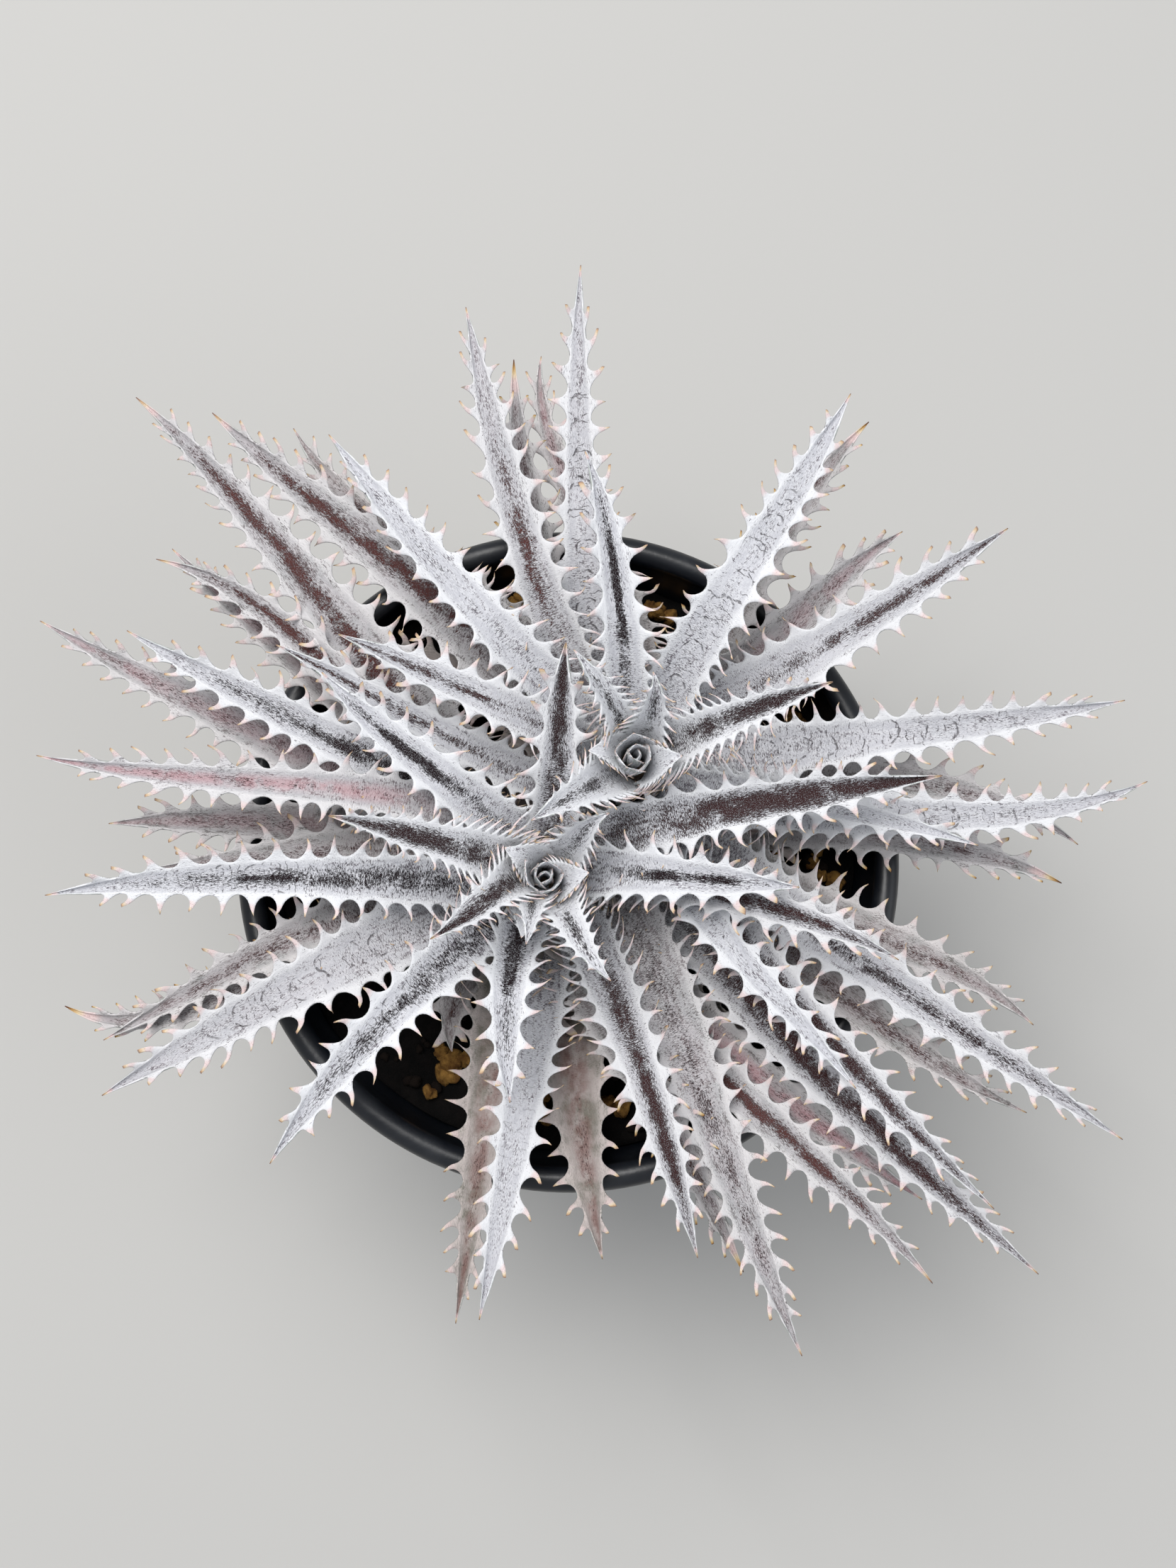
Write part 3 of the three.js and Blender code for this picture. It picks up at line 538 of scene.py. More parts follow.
# %% [markdown]
# ## One leaf as a mesh
# A leaf could be a flat sheet with a cut-out outline, but it has to be round and thick where it catches
# the light, and its teeth have to stand out as solid hooks. So the blade is a grid of points: rows along
# the leaf, and in each row an arc that is deeper towards the tip, where the margins roll in. A second
# grid lies under it at the leaf's thickness. Each tooth is a patch that starts on a stretch of the
# margin, narrows quickly, which leaves the rounded bay between two teeth, and runs out into a bent
# point. All patches share their points with the margin, so that a leaf is one closed skin.

# %% The shape of a leaf along its length
BLADE_COLUMNS = 12
ROOTED = 1.5  # how far a leaf reaches into the stem
WIDTH_KNOTS = [0.0, 0.12, 0.25, 0.5, 0.7, 0.85, 0.95, 1.0]
ROUNDING = 0.04  # share of the length over which a width is rounded off
TIP_SLOPE = 3.2  # keeps the tip from being blunt
LEAST_WIDTH = 0.006


def width_share(share, form):
    """Half widths along the leaf, drawn through the form's knots and rounded off between them."""
    nearby = [np.clip(share + step, 0, 1) for step in (-ROUNDING, 0, ROUNDING)]
    drawn = [np.interp(place, WIDTH_KNOTS, form["widths"]) for place in nearby]
    return np.minimum(sum(drawn) / 3, TIP_SLOPE * (1 - share)) + LEAST_WIDTH


def thickness_share(share):
    """Thickest a little way out, half as thick further on, and thin at the tip."""
    body = blend(0.65, 1, np.clip(share / 0.2, 0, 1)) * blend(1, 0.5, share)
    return body * (1 - 0.9 * smooth(0.8, 1.0, share))


print("thickness in the middle", thickness_share(np.array([0.5])))


# %% Rows and teeth
TOOTH_COLUMNS = 4
WIDER_CHANCE, NARROWER_CHANCE = 0.3, 0.15  # that a tooth takes one row more, or one less


def row_places(length, pitch):
    """Places of the rows along a leaf, closer together where the teeth are closer together."""
    places = [-ROOTED]
    while places[-1] < length:
        places.append(places[-1] + pitch(max(places[-1], 0) / length) / TOOTH_COLUMNS)
    places = np.array(places)
    return (places + ROOTED) * (length + ROOTED) / (places[-1] + ROOTED) - ROOTED


def tooth_stretches(first, last, phase, draw):
    """Pairs of rows between which a tooth stands, from the first row to the last."""
    stretches = []
    row = first + phase
    while True:
        end = row + TOOTH_COLUMNS + int(draw.random() < WIDER_CHANCE) - int(draw.random() < NARROWER_CHANCE)
        if end > last:
            return stretches
        stretches.append((row, end))
        row = end


print("rows of a leaf of 100 mm", len(row_places(100, lambda share: 6)))


# %% The outline of a tooth
BAY_DEPTH = 0.4  # of the distance between two teeth
DEEPEST_BAY = 0.45  # of the length of the tooth
POINT_WIDTH = 0.025


def tooth_outline(pitch, length, spike, rings):
    """Heights above the margin and half widths of a tooth: a round bay at its foot, then a slim spine,
    whose width at its foot is a share of the distance between two teeth. rings holds how many steps the
    bay has and how many the spine."""
    spike = spike * pitch / 2
    bay = min(BAY_DEPTH * pitch, DEEPEST_BAY * length)
    turn = np.linspace(0, math.pi / 2, rings[0] + 1)[1:]
    bay_heights = bay * (1 - np.cos(turn))
    spine_heights = bay + (length - bay) * np.arange(1, rings[1] + 1) / rings[1]
    height = np.concatenate([bay_heights, spine_heights])
    flare = np.concatenate([(pitch / 2 - spike) * (1 - np.sin(turn)), np.zeros(rings[1])])
    return height, flare + spike * (1 - height / length) + POINT_WIDTH


print("half widths of a tooth", tooth_outline(6.5, 4.5, 0.3, (5, 5))[1].round(2))


# %% The body of a tooth
def tooth_body(foot, shape):
    """Rings of points above and below the middle of a tooth, and what they have moved along the margin
    and out from it."""
    top, bottom = foot.top, foot.bottom
    length = shape["length"]
    pitch = np.linalg.norm(top[-1] - top[0])
    height, half = tooth_outline(pitch, length, shape["spike"], shape["rings"])
    reach = (height / length)[:, None]
    column = np.linspace(-1, 1, len(top))[None, :]
    bend = shape["lean"] * reach**1.6 + shape["hook"] * np.maximum(reach - 0.5, 0) ** 2
    shift = column * (half[:, None] - pitch / 2) + bend * length
    same = 0 * column  # repeats a value of a ring for each of its points
    out = height[:, None] * (1 - 0.15 * abs(shape["lean"]) * reach) + same
    lift = shape["lift"] * length * reach**2 + same
    middle = (top + bottom)[None] / 2
    centre = middle + shift[..., None] * foot.tangent + out[..., None] * foot.outward
    centre = centre + lift[..., None] * foot.normal
    lens = blend(0.3, 1.0, 1 - column**2) * shape["thickness"]
    full = np.linalg.norm(top - bottom, axis=1)[None]
    depth = blend(full, lens, smooth(0, 0.35, reach)) * (1 - 0.94 * reach) / 2
    above = centre + depth[..., None] * foot.normal
    below = centre - depth[..., None] * foot.normal
    return above, below, shift, out, reach


print("points in each ring of a tooth", 2 * (TOOTH_COLUMNS + 1))


# %% A tooth on the margin
def add_tooth(pile, foot, side, shape, values):
    """One tooth whose foot is a stretch of the margin. Its patches share the margin's points."""
    above, below, shift, out, reach = tooth_body(foot, shape)
    rings, columns = out.shape
    values = {name: np.tile(value, rings) if np.ndim(value) else value for name, value in values.items()}
    values["across"] = values["across"] + side * out.ravel()
    values["along"] = values["along"] + shift.ravel()
    values["tooth"] = np.repeat(reach, columns)
    first = pile.add_points(above, **values, under=0)
    second = pile.add_points(below, **values, under=1)
    for start, base, flip in ((first, foot.upper, side > 0), (second, foot.lower, side < 0)):
        lines = np.concatenate([[base], start + np.arange(rings * columns).reshape(rings, columns)])
        corners = [lines[:-1, :-1], lines[1:, :-1], lines[1:, 1:], lines[:-1, 1:]]
        pile.add_faces(np.stack(corners, axis=-1), flip)
    ring_starts = np.arange(rings) * columns
    for edge, flip in ((0, side < 0), (columns - 1, side > 0)):
        above_edge = np.concatenate([[foot.upper[edge]], first + ring_starts + edge])
        below_edge = np.concatenate([[foot.lower[edge]], second + ring_starts + edge])
        pile.add_faces(strip_faces(above_edge, below_edge), flip)
    last = ring_starts[-1] + np.arange(columns)
    pile.add_faces(strip_faces(first + last, second + last), side < 0)


print("faces of a tooth with eight rings", 8 * 2 * (TOOTH_COLUMNS + 1) + TOOTH_COLUMNS)


# %% The course of a leaf
SLOPE_STEP = 0.6  # how far ahead and behind a slope is measured


def along_line(line, reached, places):
    return np.stack([np.interp(places, reached, line[:, axis]) for axis in range(3)], axis=1)


def leaf_course(line, form):
    """The rows of a leaf on the middle line: how far along they lie, where, and which way is along,
    left and up there. A form with a heading stands upright and faces that way."""
    steps = np.linalg.norm(np.diff(line, axis=0), axis=1)
    length = steps.sum()
    line = np.concatenate([[line[0] - 3 * ROOTED * (line[1] - line[0]) / steps[0]], line])
    reached = np.concatenate([[-3 * ROOTED, 0], np.cumsum(steps)])
    places = row_places(length, form["pitch"])
    rows = len(places)
    share = np.clip(places / length, 0, 1)
    spine = along_line(line, reached, places)
    tangent = along_line(line, reached, places + SLOPE_STEP) - along_line(line, reached, places - SLOPE_STEP)
    tangent /= np.linalg.norm(tangent, axis=1)[:, None]
    flat = tangent[:, :2] if form.get("heading") is None else np.tile(form["heading"], (rows, 1))
    flat = flat / np.linalg.norm(flat, axis=1)[:, None]
    sideways = np.stack([-flat[:, 1], flat[:, 0], np.zeros(rows)], axis=1)
    upright = np.cross(tangent, sideways)
    twist = form["twist"] * share**1.5
    left = np.cos(twist)[:, None] * sideways + np.sin(twist)[:, None] * upright
    return SimpleNamespace(
        length=length, places=places, share=share, spine=spine, tangent=tangent, left=left,
        up=np.cross(tangent, left), roll=form["roll"](share),
    )


straight = np.array([[0, 0, 0], [50, 0, 0], [100, 0, 0]], float)
plain_form = {"pitch": lambda share: 5, "twist": 0, "roll": lambda share: share}
course = leaf_course(straight, plain_form)
print("a straight leaf points to", course.tangent[0], "and its upper side to", course.up[0])


# %% The blade
MARGIN_THICKNESS = 0.5
WAVE_HEIGHT = 0.04  # of the half width: the margins are a little wavy


def blade_points(course, form, draw):
    """Rows of points on the upper and the lower skin, and how far across they lie."""
    half = form["width"] / 2 * width_share(course.share, form)
    half *= 1 + WAVE_HEIGHT * np.sin(course.places * 0.5 + draw.uniform(0, 6))
    across = np.linspace(-1, 1, BLADE_COLUMNS + 1)
    left, up, roll = course.left[:, None], course.up[:, None], course.roll[:, None]
    angle = roll * across
    x = half[:, None] * np.sin(angle) / roll
    z = half[:, None] * (1 - np.cos(angle)) / roll
    normal = np.cos(angle)[..., None] * up - np.sin(angle)[..., None] * left
    top = course.spine[:, None] + x[..., None] * left + z[..., None] * up
    share = course.share[:, None]
    full = form["thickness"] * thickness_share(course.share)[:, None]
    edge = MARGIN_THICKNESS * blend(1, 0.6, share) * (1 - 0.8 * smooth(0.9, 1, share))
    depth = blend(edge, full, 1 - across[None] ** 2)
    return top, top - depth[..., None] * normal, half, across


def add_blade(pile, course, form, look, draw):
    """The blade as a closed skin but for its margins, which the teeth are set on."""
    top, bottom, half, across = blade_points(course, form, draw)
    rows, columns = top.shape[:2]
    place = {
        "along": np.repeat(course.places, columns),
        "across": (half[:, None] * across).ravel(),
        "share": np.repeat(course.share, columns),
        "side": np.tile(np.abs(across), rows),
        "rubbed": rubbed_at(look, course.share[:, None], across[None]).ravel(),
    }
    plain = {name: look[name] for name in PLAIN_VALUES}
    point = smooth(look["point"], 1.0, place["share"])
    first = pile.add_points(top, **place, **plain, tooth=point, under=0)
    second = pile.add_points(bottom, **place, **plain, tooth=point, under=1)
    pile.add_faces(grid_faces(first, rows, columns))
    pile.add_faces(grid_faces(second, rows, columns), flip=True)
    root = np.arange(columns)
    tip = (rows - 1) * columns + root
    pile.add_faces(strip_faces(first + root, second + root))
    pile.add_faces(strip_faces(first + tip, second + tip), flip=True)
    return SimpleNamespace(first=first, second=second, top=top, bottom=bottom, half=half, plain=plain)


print("points across a blade", 2 * (BLADE_COLUMNS + 1))


# %% The combs of teeth
def tooth_shape(form, share, draw):
    """The sizes of one tooth at its share of the way to the tip, each a little different."""
    return {
        "length": form["tooth"](share) * draw.uniform(0.86, 1.14),
        "lean": form["lean"](share) + draw.uniform(-0.2, 0.2),
        "hook": draw.uniform(*form["hook"]),
        "lift": draw.uniform(-0.05, 0.35),
        "thickness": blend(1.1, 0.7, share) * form["tooth_thickness"],
        "spike": form["spike"](share),
        "rings": form["rings"],
    }


def add_comb(pile, course, blade, side, form, draw):
    """The teeth of one margin, and a narrow strip where it is bare. side is 1 on the left, -1 on the
    right, where the teeth start half a tooth later."""
    rows, columns = blade.top.shape[:2]
    column, phase = (columns - 1, 0) if side > 0 else (0, TOOTH_COLUMNS // 2)
    first_row = int(np.searchsorted(course.places, form["bare"]))
    last_row = int(np.searchsorted(course.places, form["toothed"] * course.length))
    upper = blade.first + np.arange(rows) * columns + column
    lower = blade.second + np.arange(rows) * columns + column
    covered = np.zeros(rows - 1, bool)
    for start, end in tooth_stretches(first_row, last_row, phase, draw):
        covered[start:end] = True
        centre, span = (start + end) // 2, slice(start, end + 1)
        share, left, up = course.share[centre], course.left[centre], course.up[centre]
        turn = side * course.roll[centre] * form["open"](share)
        foot = SimpleNamespace(
            tangent=course.tangent[centre],
            outward=side * (math.cos(turn) * left + math.sin(turn) * up),
            normal=math.cos(turn) * up - math.sin(turn) * left,
            top=blade.top[span, column], bottom=blade.bottom[span, column],
            upper=upper[span], lower=lower[span],
        )
        values = {
            "along": course.places[span], "across": side * blade.half[span], "share": course.share[span],
            "side": 1.1, "rubbed": 0, **blade.plain,
        }
        add_tooth(pile, foot, side, tooth_shape(form, share, draw), values)
    bare = np.flatnonzero(~covered)
    quads = [upper[bare], upper[bare + 1], lower[bare + 1], lower[bare]]
    pile.add_faces(np.stack(quads, axis=-1), flip=side < 0)


print(add_comb.__doc__)


# %% A whole leaf
def grow_leaf(line, form, look, draw):
    """A leaf on the middle line. form holds its sizes, look its values of finish."""
    pile = Pile()
    course = leaf_course(line, form)
    blade = add_blade(pile, course, form, look, draw)
    for side in (1, -1):
        add_comb(pile, course, blade, side, form, draw)
    return pile


print(grow_leaf.__doc__)

# %% [markdown]
# ## How the leaves differ
# No two leaves are alike: the young ones are silver, the old ones brown and stained, and each is rubbed in
# other places. A look is a set of shares: how old and stained the felt is, how much of it is combed off in
# dashes, how plain the scallops are, and how brown, rusty, pink and flushed a leaf is. A few leaves also
# carry a darker stripe along a stretch of their middle. Looks have names, so that the table of leaves
# further on can be read, where numbers for each leaf would fill a page.

# %% Looks
# age: how old and stained the felt is. freckles: how much of it is combed off near the root, half way and
# further out. breadth: how far that spreads from the middle. prints: how plain the scallops are. rust and
# flush: how brown and how pink the spines are. blush: how rosy the felt is. brown: how brown the bare skin
# is. point: where the dry tip starts. tip: how much of the last share of freckles is left at the tip. What
# a look doesn't name is as in the basic look.
SEED_STEP = 7.3  # millimetres of noise between two leaves
STRIPE_COVER = 2.0
BASIC_LOOK = {
    "age": 0.05, "freckles": (0.75, 0.75, 0.5), "breadth": 0.7, "prints": 0.15, "rust": 0.75, "blush": 0.0,
    "flush": 0.8, "brown": 0.0, "stripe": None, "point": 0.95, "tip": 0.2,
}
LOOKS = {
    "silver": {"age": 0.0, "freckles": (0.45, 0.65, 0.55)},
    "pale": {"age": 0.0, "freckles": (0.4, 0.4, 0.3), "prints": 0.4},
    "printed": {"age": 0.0, "prints": 1.0, "freckles": (0.55, 0.55, 0.5), "breadth": 0.8},
    "squiggly": {"age": 0.0, "prints": 1.0, "freckles": (1.3, 1.3, 0.9), "breadth": 1.0},
    "bud": {"age": 0.0, "freckles": (0.3, 0.35, 0.3), "prints": 0.0},
    "belted": {"age": 0.2, "freckles": (0.3, 1.7, 0.5), "brown": 0.8, "breadth": 0.9},
    "freckled": {"age": 0.0, "freckles": (0.8, 1.35, 1.3), "breadth": 0.7, "tip": 0.4},
    "smoky": {"age": 0.0, "freckles": (1.6, 1.5, 0.9), "breadth": 0.95},
    "sooty": {"age": 0.15, "freckles": (0.9, 1.95, 1.9), "brown": 0.2, "breadth": 0.9, "tip": 0.5},
    "ash": {"age": 0.4, "freckles": (0.7, 0.95, 0.95), "breadth": 1.0},
    "purple": {"freckles": (0.6, 1.2, 1.5), "breadth": 0.65, "brown": 0.4, "tip": 0.9},
    "dark": {"freckles": (1.3, 1.65, 2.1), "brown": 0.12, "breadth": 1.1, "point": 0.9, "tip": 1.0},
    "maroon": {"freckles": (1.1, 1.65, 1.95), "brown": 0.28, "breadth": 1.5, "point": 0.93, "tip": 1.0},
    "midline": {"age": 0.4, "freckles": (0.7, 1.7, 1.8), "brown": 0.8, "breadth": 0.75, "point": 0.9},
    "beige": {"age": 0.5, "freckles": (0.4, 0.9, 0.9), "brown": 0.8},
    "faded": {"age": 0.6, "freckles": (0.4, 1.0, 1.1), "brown": 0.9, "flush": 0.5},
    "green": {"age": 1.0, "freckles": (0.2, 0.5, 0.7), "brown": 1.0, "flush": 0.6},
    "pinkish": {"age": 0.45, "freckles": (0.3, 0.7, 0.8), "brown": 0.8, "blush": 0.25},
    "rosy": {"age": 0.3, "freckles": (0.3, 0.7, 0.7), "brown": 0.8, "blush": 0.6},
    "rusty": {"age": 0.5, "freckles": (0.35, 0.9, 0.9), "rust": 1.0, "brown": 0.8, "point": 0.82},
}


def rubbed_at(look, share, across):
    """How far the felt is rubbed off at each point. freckles holds its shares near the root, half way
    and further out, and tip says how much of the last is left at the tip. A stripe is a stretch of the
    length, with its breadth, where most of the felt is off."""
    near, middle, far = look["freckles"]
    cover = np.interp(share, [0.1, 0.45, 0.75, 0.93], [near, middle, far, far * look["tip"]])
    cover = cover * np.clip((look["breadth"] - np.abs(across)) / (0.85 * look["breadth"]), 0, 1) ** 1.1
    if look["stripe"] is not None:
        start, end, breadth = look["stripe"]
        stretch = smooth(start - 0.08, start + 0.08, share) * smooth(end + 0.1, end - 0.05, share)
        stripe = stretch * smooth(1.2 * breadth, 0.1 * breadth, np.abs(across))
        cover = np.maximum(cover, STRIPE_COVER * stripe)
    return cover


def make_look(name, seed, stripe=None):
    """A look for one leaf. The seed takes it to a part of the noise of its own."""
    return {**BASIC_LOOK, **LOOKS[name], "seed": SEED_STEP * seed, "stripe": stripe}


print("looks", len(LOOKS))

# %% [markdown]
# ## Where the long leaves run
# Seen from above, a leaf is one bend: it leaves its crown at one heading and arrives at its tip at
# another. A cubic curve with the same four handles as its solid gives that. The heights could be written
# in the table too, but they would be wrong as soon as a solid moves. So a ray is cast down on the solid
# at each step, and the point that it hits gives the height of the middle line there.

# %% The long leaves
CROWNS = {"A": np.array([11.4, 16.3]), "B": np.array([-6.2, -6.5])}
TIP_HANDLE = 0.35  # how long the last heading is kept, as a share of the length
# From the lowest leaf to the highest. Each row: crown, place of the tip, heading at the root and at the
# tip, how long the first heading is kept, width, look, and a stripe if the leaf has one.
LONG_LEAVES = [
    ("A", -60, 94, 121, 117, 0.33, 9, "faded"),
    ("A", -6, 109, 80, 82, 0.33, 8, "pinkish"),
    ("A", 65, 94, 55, 47, 0.15, 9, "rusty"),
    ("B", -25, -41, -135, -80, 0.33, 9, "faded"),
    ("B", -97, 7, 158, 180, 0.33, 11, "pinkish"),
    ("B", -106, -31, -175, -205, 0.33, 9, "rusty"),
    ("B", -85, 66, 129, 134, 0.2, 10, "pinkish"),
    ("A", 105, -6, -17, -20, 0.2, 10, "rusty"),
    ("B", 73, -72, -44, -33, 0.2, 11, "rosy"),
    ("B", 6, -83, -77, -78, 0.2, 13, "green"),
    ("A", 94, -54, -49, -22, 0.2, 10, "faded"),
    ("A", -77, 96, 127, 134, 0.15, 13, "midline"),
    ("A", 72, 70, 38, 34, 0.33, 11, "pinkish"),
    ("B", -24, -96, -108, -100, 0.33, 9, "green"),
    ("B", 35, -86, -62, -64, 0.33, 9, "rusty"),
    ("A", 108, 2, 3, -35, 0.2, 9, "beige"),
    ("B", -87, -3, 159, 182, 0.33, 10, "beige"),
    ("B", -96, -38, -180, -153, 0.33, 9, "beige"),
    ("A", -12, 106, 120, 90, 0.2, 9, "rusty"),
    ("A", 96, -36, -47, -40, 0.33, 11, "faded"),
    ("B", -92, 97, 128, 137, 0.15, 12.5, "midline"),
    ("B", -111, 49, 148, 149, 0.33, 11, "pinkish"),
    ("B", 73, -88, -57, -50, 0.2, 10, "midline"),
    ("A", 94, -86, -67, -40, 0.33, 12, "sooty"),
    ("B", -87, 62, 144, 166, 0.2, 10, "midline"),
    ("B", 46, -102, -5, -65, 0.12, 12, "ash"),
    ("B", -95, -49, -170, -151, 0.12, 13, "printed"),
    ("A", 111, -59, -48, -33, 0.12, 11, "freckled"),
    ("A", 2, 123, 115, 87, 0.12, 9, "printed"),
    ("A", 91, 67, 36, 36, 0.2, 12, "purple"),
    ("A", 115, 31, 12, 12, 0.12, 10, "printed"),
    ("A", 119, 14, -15, 26, 0.12, 10, "printed"),
    ("B", -19, -93, -90, -102, 0.2, 10, "pale"),
    ("B", -91, 45, 134, 149, 0.2, 11, "smoky"),
    ("B", -108, 19, 123, 166, 0.2, 9, "rosy"),
    ("B", -106, -9, -178, -170, 0.12, 11, "squiggly", (0.44, 0.6, 0.24)),
    ("A", 83, -72, -59, -43, 0.33, 10, "sooty", (0.16, 0.26, 0.5)),
    ("A", -22, 112, 120, 101, 0.33, 11, "belted"),
    ("B", -60, -62, -141, -123, 0.33, 11, "squiggly"),
    ("B", 24, -81, -45, -76, 0.12, 11, "sooty"),
    ("A", -50, 85, 132, 125, 0.12, 11, "silver"),
    ("A", -60, 41, -156, -207, 0.12, 9, "purple"),
    ("A", 81, 0, -9, -17, 0.2, 7, "silver", (0.3, 0.5, 0.6)),
    ("A", 57, 93, 64, 63, 0.33, 12, "printed"),
    ("A", 55, -48, -72, -52, 0.33, 8, "silver"),
    ("A", -47, 42, 152, 156, 0.12, 10, "purple", (0.45, 0.6, 0.35)),
    ("B", -50, 34, 118, 130, 0.12, 11, "freckled", (0.4, 0.74, 0.5)),
    ("B", -13, -50, -115, -84, 0.33, 10, "smoky"),
    ("B", 63, -23, 15, -28, 0.12, 10, "sooty"),
    ("B", 72, 13, 42, 8, 0.14, 12, "maroon"),
    ("A", 2, 78, 92, 110, 0.2, 10, "freckled", (0.34, 0.7, 0.45)),
    ("B", 43, -9, 12, -4, 0.12, 11, "freckled", (0.35, 0.75, 0.4)),
    ("B", -2, 39, 78, 84, 0.2, 11, "dark"),
]
print("long leaves", len(LONG_LEAVES))


# %% The middle line of a long leaf
LINE_POINTS = 49
HEIGHT_TERMS = 5  # of the smooth curve through the heights
RAY_START = 1.0  # metres above the floor


def bezier(a, b, c, d, shares):
    t = shares[:, None]
    return (1 - t) ** 3 * a + 3 * (1 - t) ** 2 * t * b + 3 * (1 - t) * t**2 * c + t**3 * d


def seen_from_above(row, root_radius, shares):
    crown, x, y, root_heading, tip_heading, grip = row[:6]
    root = CROWNS[crown] + root_radius * heading(root_heading)
    tip = np.array([x, y], float)
    length = np.linalg.norm(tip - root)
    first = root + grip * length * heading(root_heading)
    second = tip - TIP_HANDLE * length * heading(tip_heading)
    return bezier(root, first, second, tip, shares)


def middle_line(node, row):
    """The middle line of a leaf, in millimetres, with heights taken from its solid."""
    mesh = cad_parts[node].data
    corners = np.array([vertex.co for vertex in mesh.vertices]) / MM
    from_axis = np.linalg.norm(corners[:, :2] - CROWNS[row[0]], axis=1)
    shares = np.linspace(0, 1, LINE_POINTS)
    plan = seen_from_above(row, from_axis.min(), shares)
    tree = BVHTree.FromPolygons([v.co for v in mesh.vertices], [p.vertices for p in mesh.polygons])
    height = np.full(len(shares), np.nan)
    for i, (x, y) in enumerate(plan):
        hit = tree.ray_cast(Vector((x * MM, y * MM, RAY_START)), Vector((0, 0, -1)))[0]
        if hit is not None:
            height[i] = hit.z / MM
    tip = corners[np.argmin(np.linalg.norm(corners[:, :2] - plan[-1], axis=1))]
    height[-1] = tip[2]
    known = ~np.isnan(height)
    curve = np.polynomial.Polynomial.fit(shares[known], height[known], HEIGHT_TERMS)
    return np.column_stack([plan, curve(shares)])


line = middle_line("leaf_21", LONG_LEAVES[20])
print("leaf_21 rises from", line[0, 2].round(1), "to", line[-1, 2].round(1))

# %% [markdown]
# ## Growing the long leaves
# The forms below give what changes along a leaf: how far apart the teeth stand, how long they are and
# which way they lean. Close to the crown the teeth are long, slender and lean back towards it. Half way
# out they stand apart and straight, and near the tip they lean forward. Each of these is a function of
# the share of the way to the tip, so one form fits leaves of any length. The lowest leaves are the
# oldest, and have broader bases and a stained, yellowed coat, which is also darkened as painted shade
# of the leaves above them.


# %% Forms of a long leaf
def tooth_pitch(share):
    return np.interp(share, [0.05, 0.2, 0.35, 0.55, 1], [1.8, 3.1, 4.6, 5.9, 4.2])


def tooth_length(share):
    return np.interp(share, [0, 0.2, 0.5, 0.75, 1], [4.4, 5.4, 4.8, 3.7, 1.9])


def tooth_lean(share):
    return blend(-0.75, 0.55, min(1, share * 1.1))


def leaf_roll(share):
    return 0.55 + 0.25 * (1 - share) + 1.5 * smooth(0.7, 1.0, share)


# thickness: of the blade. bare: how far from the root the first tooth stands. toothed: the share of the
# length where the last one stands. rings: steps in a tooth's bay and in its spine. hook: the range in
# which its point bends. pitch, tooth, lean and spike: how far apart the teeth stand, how long they are,
# how far they lean and how broad they are. roll: how far the margins are rolled up. open: how far a tooth
# follows that roll.
LONG_FORM = {
    "thickness": 2.2, "bare": 3.0, "toothed": 0.93, "tooth_thickness": 1.0, "rings": (4, 4),
    "hook": (-0.6, 1.6), "pitch": tooth_pitch, "tooth": tooth_length, "lean": tooth_lean, "roll": leaf_roll,
    "open": lambda share: blend(0.75, 0.45, share),
    "spike": lambda share: blend(0.25, 0.38, min(1, 2 * share)),
}
print("teeth stand", tooth_pitch(0.1).round(1), "to", tooth_pitch(0.55).round(1), "mm apart")


# %% How old and how shaded a leaf is
OLDEST_LEAVES = 22  # the first rows of the table
OLDER_LEAVES = 33
OLDEST_WIDTHS = [1.4, 1.6, 1.4, 0.8, 0.55, 0.34, 0.16, 0.0]
OLDER_WIDTHS = [1.15, 1.25, 1.12, 0.74, 0.54, 0.34, 0.16, 0.0]
YOUNGER_WIDTHS = [0.95, 0.97, 0.88, 0.67, 0.52, 0.33, 0.15, 0.0]
AGE_AND_SHADE_OF_LOWEST = 0.6
FIRST_WITHOUT_ADDED_AGE_AND_SHADE = 36


def widths_of(number):
    """The lower a leaf lies, the broader is its base."""
    if number <= OLDEST_LEAVES:
        return OLDEST_WIDTHS
    return OLDER_WIDTHS if number <= OLDER_LEAVES else YOUNGER_WIDTHS


def least_age_and_shade(number):
    """The lowest leaves are at least this stained and dark, whatever their look says: partly real age, partly
    painted shade.
    """
    return blend(AGE_AND_SHADE_OF_LOWEST, 0.0, min(1, number / FIRST_WITHOUT_ADDED_AGE_AND_SHADE))


print("least age of leaf 12", round(least_age_and_shade(12), 2))


# %% Growing them
def settle(piece, slot, *nodes):
    """The piece moves with the object's one body, and takes the place of those solids."""
    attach(piece, "root")
    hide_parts(*nodes)


faces = 0
for number, row in enumerate(LONG_LEAVES, 1):
    node = f"leaf_{number:02d}"
    draw = np.random.default_rng(number)
    sizes = {"width": row[6], "twist": draw.uniform(-0.25, 0.25), "widths": widths_of(number)}
    look = make_look(row[7], number, *row[8:])
    # The raised age of the lowest leaves is partly painted shade, as if the leaves above shaded them.
    look["age"] = max(look["age"], least_age_and_shade(number))
    pile = grow_leaf(middle_line(node, row), {**LONG_FORM, **sizes}, look, draw)
    piece = pile.piece(f"fine_{node}", leaf_fur)
    settle(piece, "leaf_fur", node)
    faces += len(piece.data.polygons)
print("long leaves grown, faces", faces)

# %% [markdown]
# ## The hearts
# In the middle of each crown the youngest leaves stand wrapped round one another, the outer ones with
# their tips leaning out and the inner ones as tight shells. They are short triangles with a comb of fine
# teeth. A few short leaves stand round each bud. A spiral with one fixed turn between leaves would be the
# quick way to place them, but the real ones are less regular, so tables say where each tip is. All of
# them come from the same leaf function, with other forms. The leaves of one heart crowd and cross at
# their roots, so they make one piece.

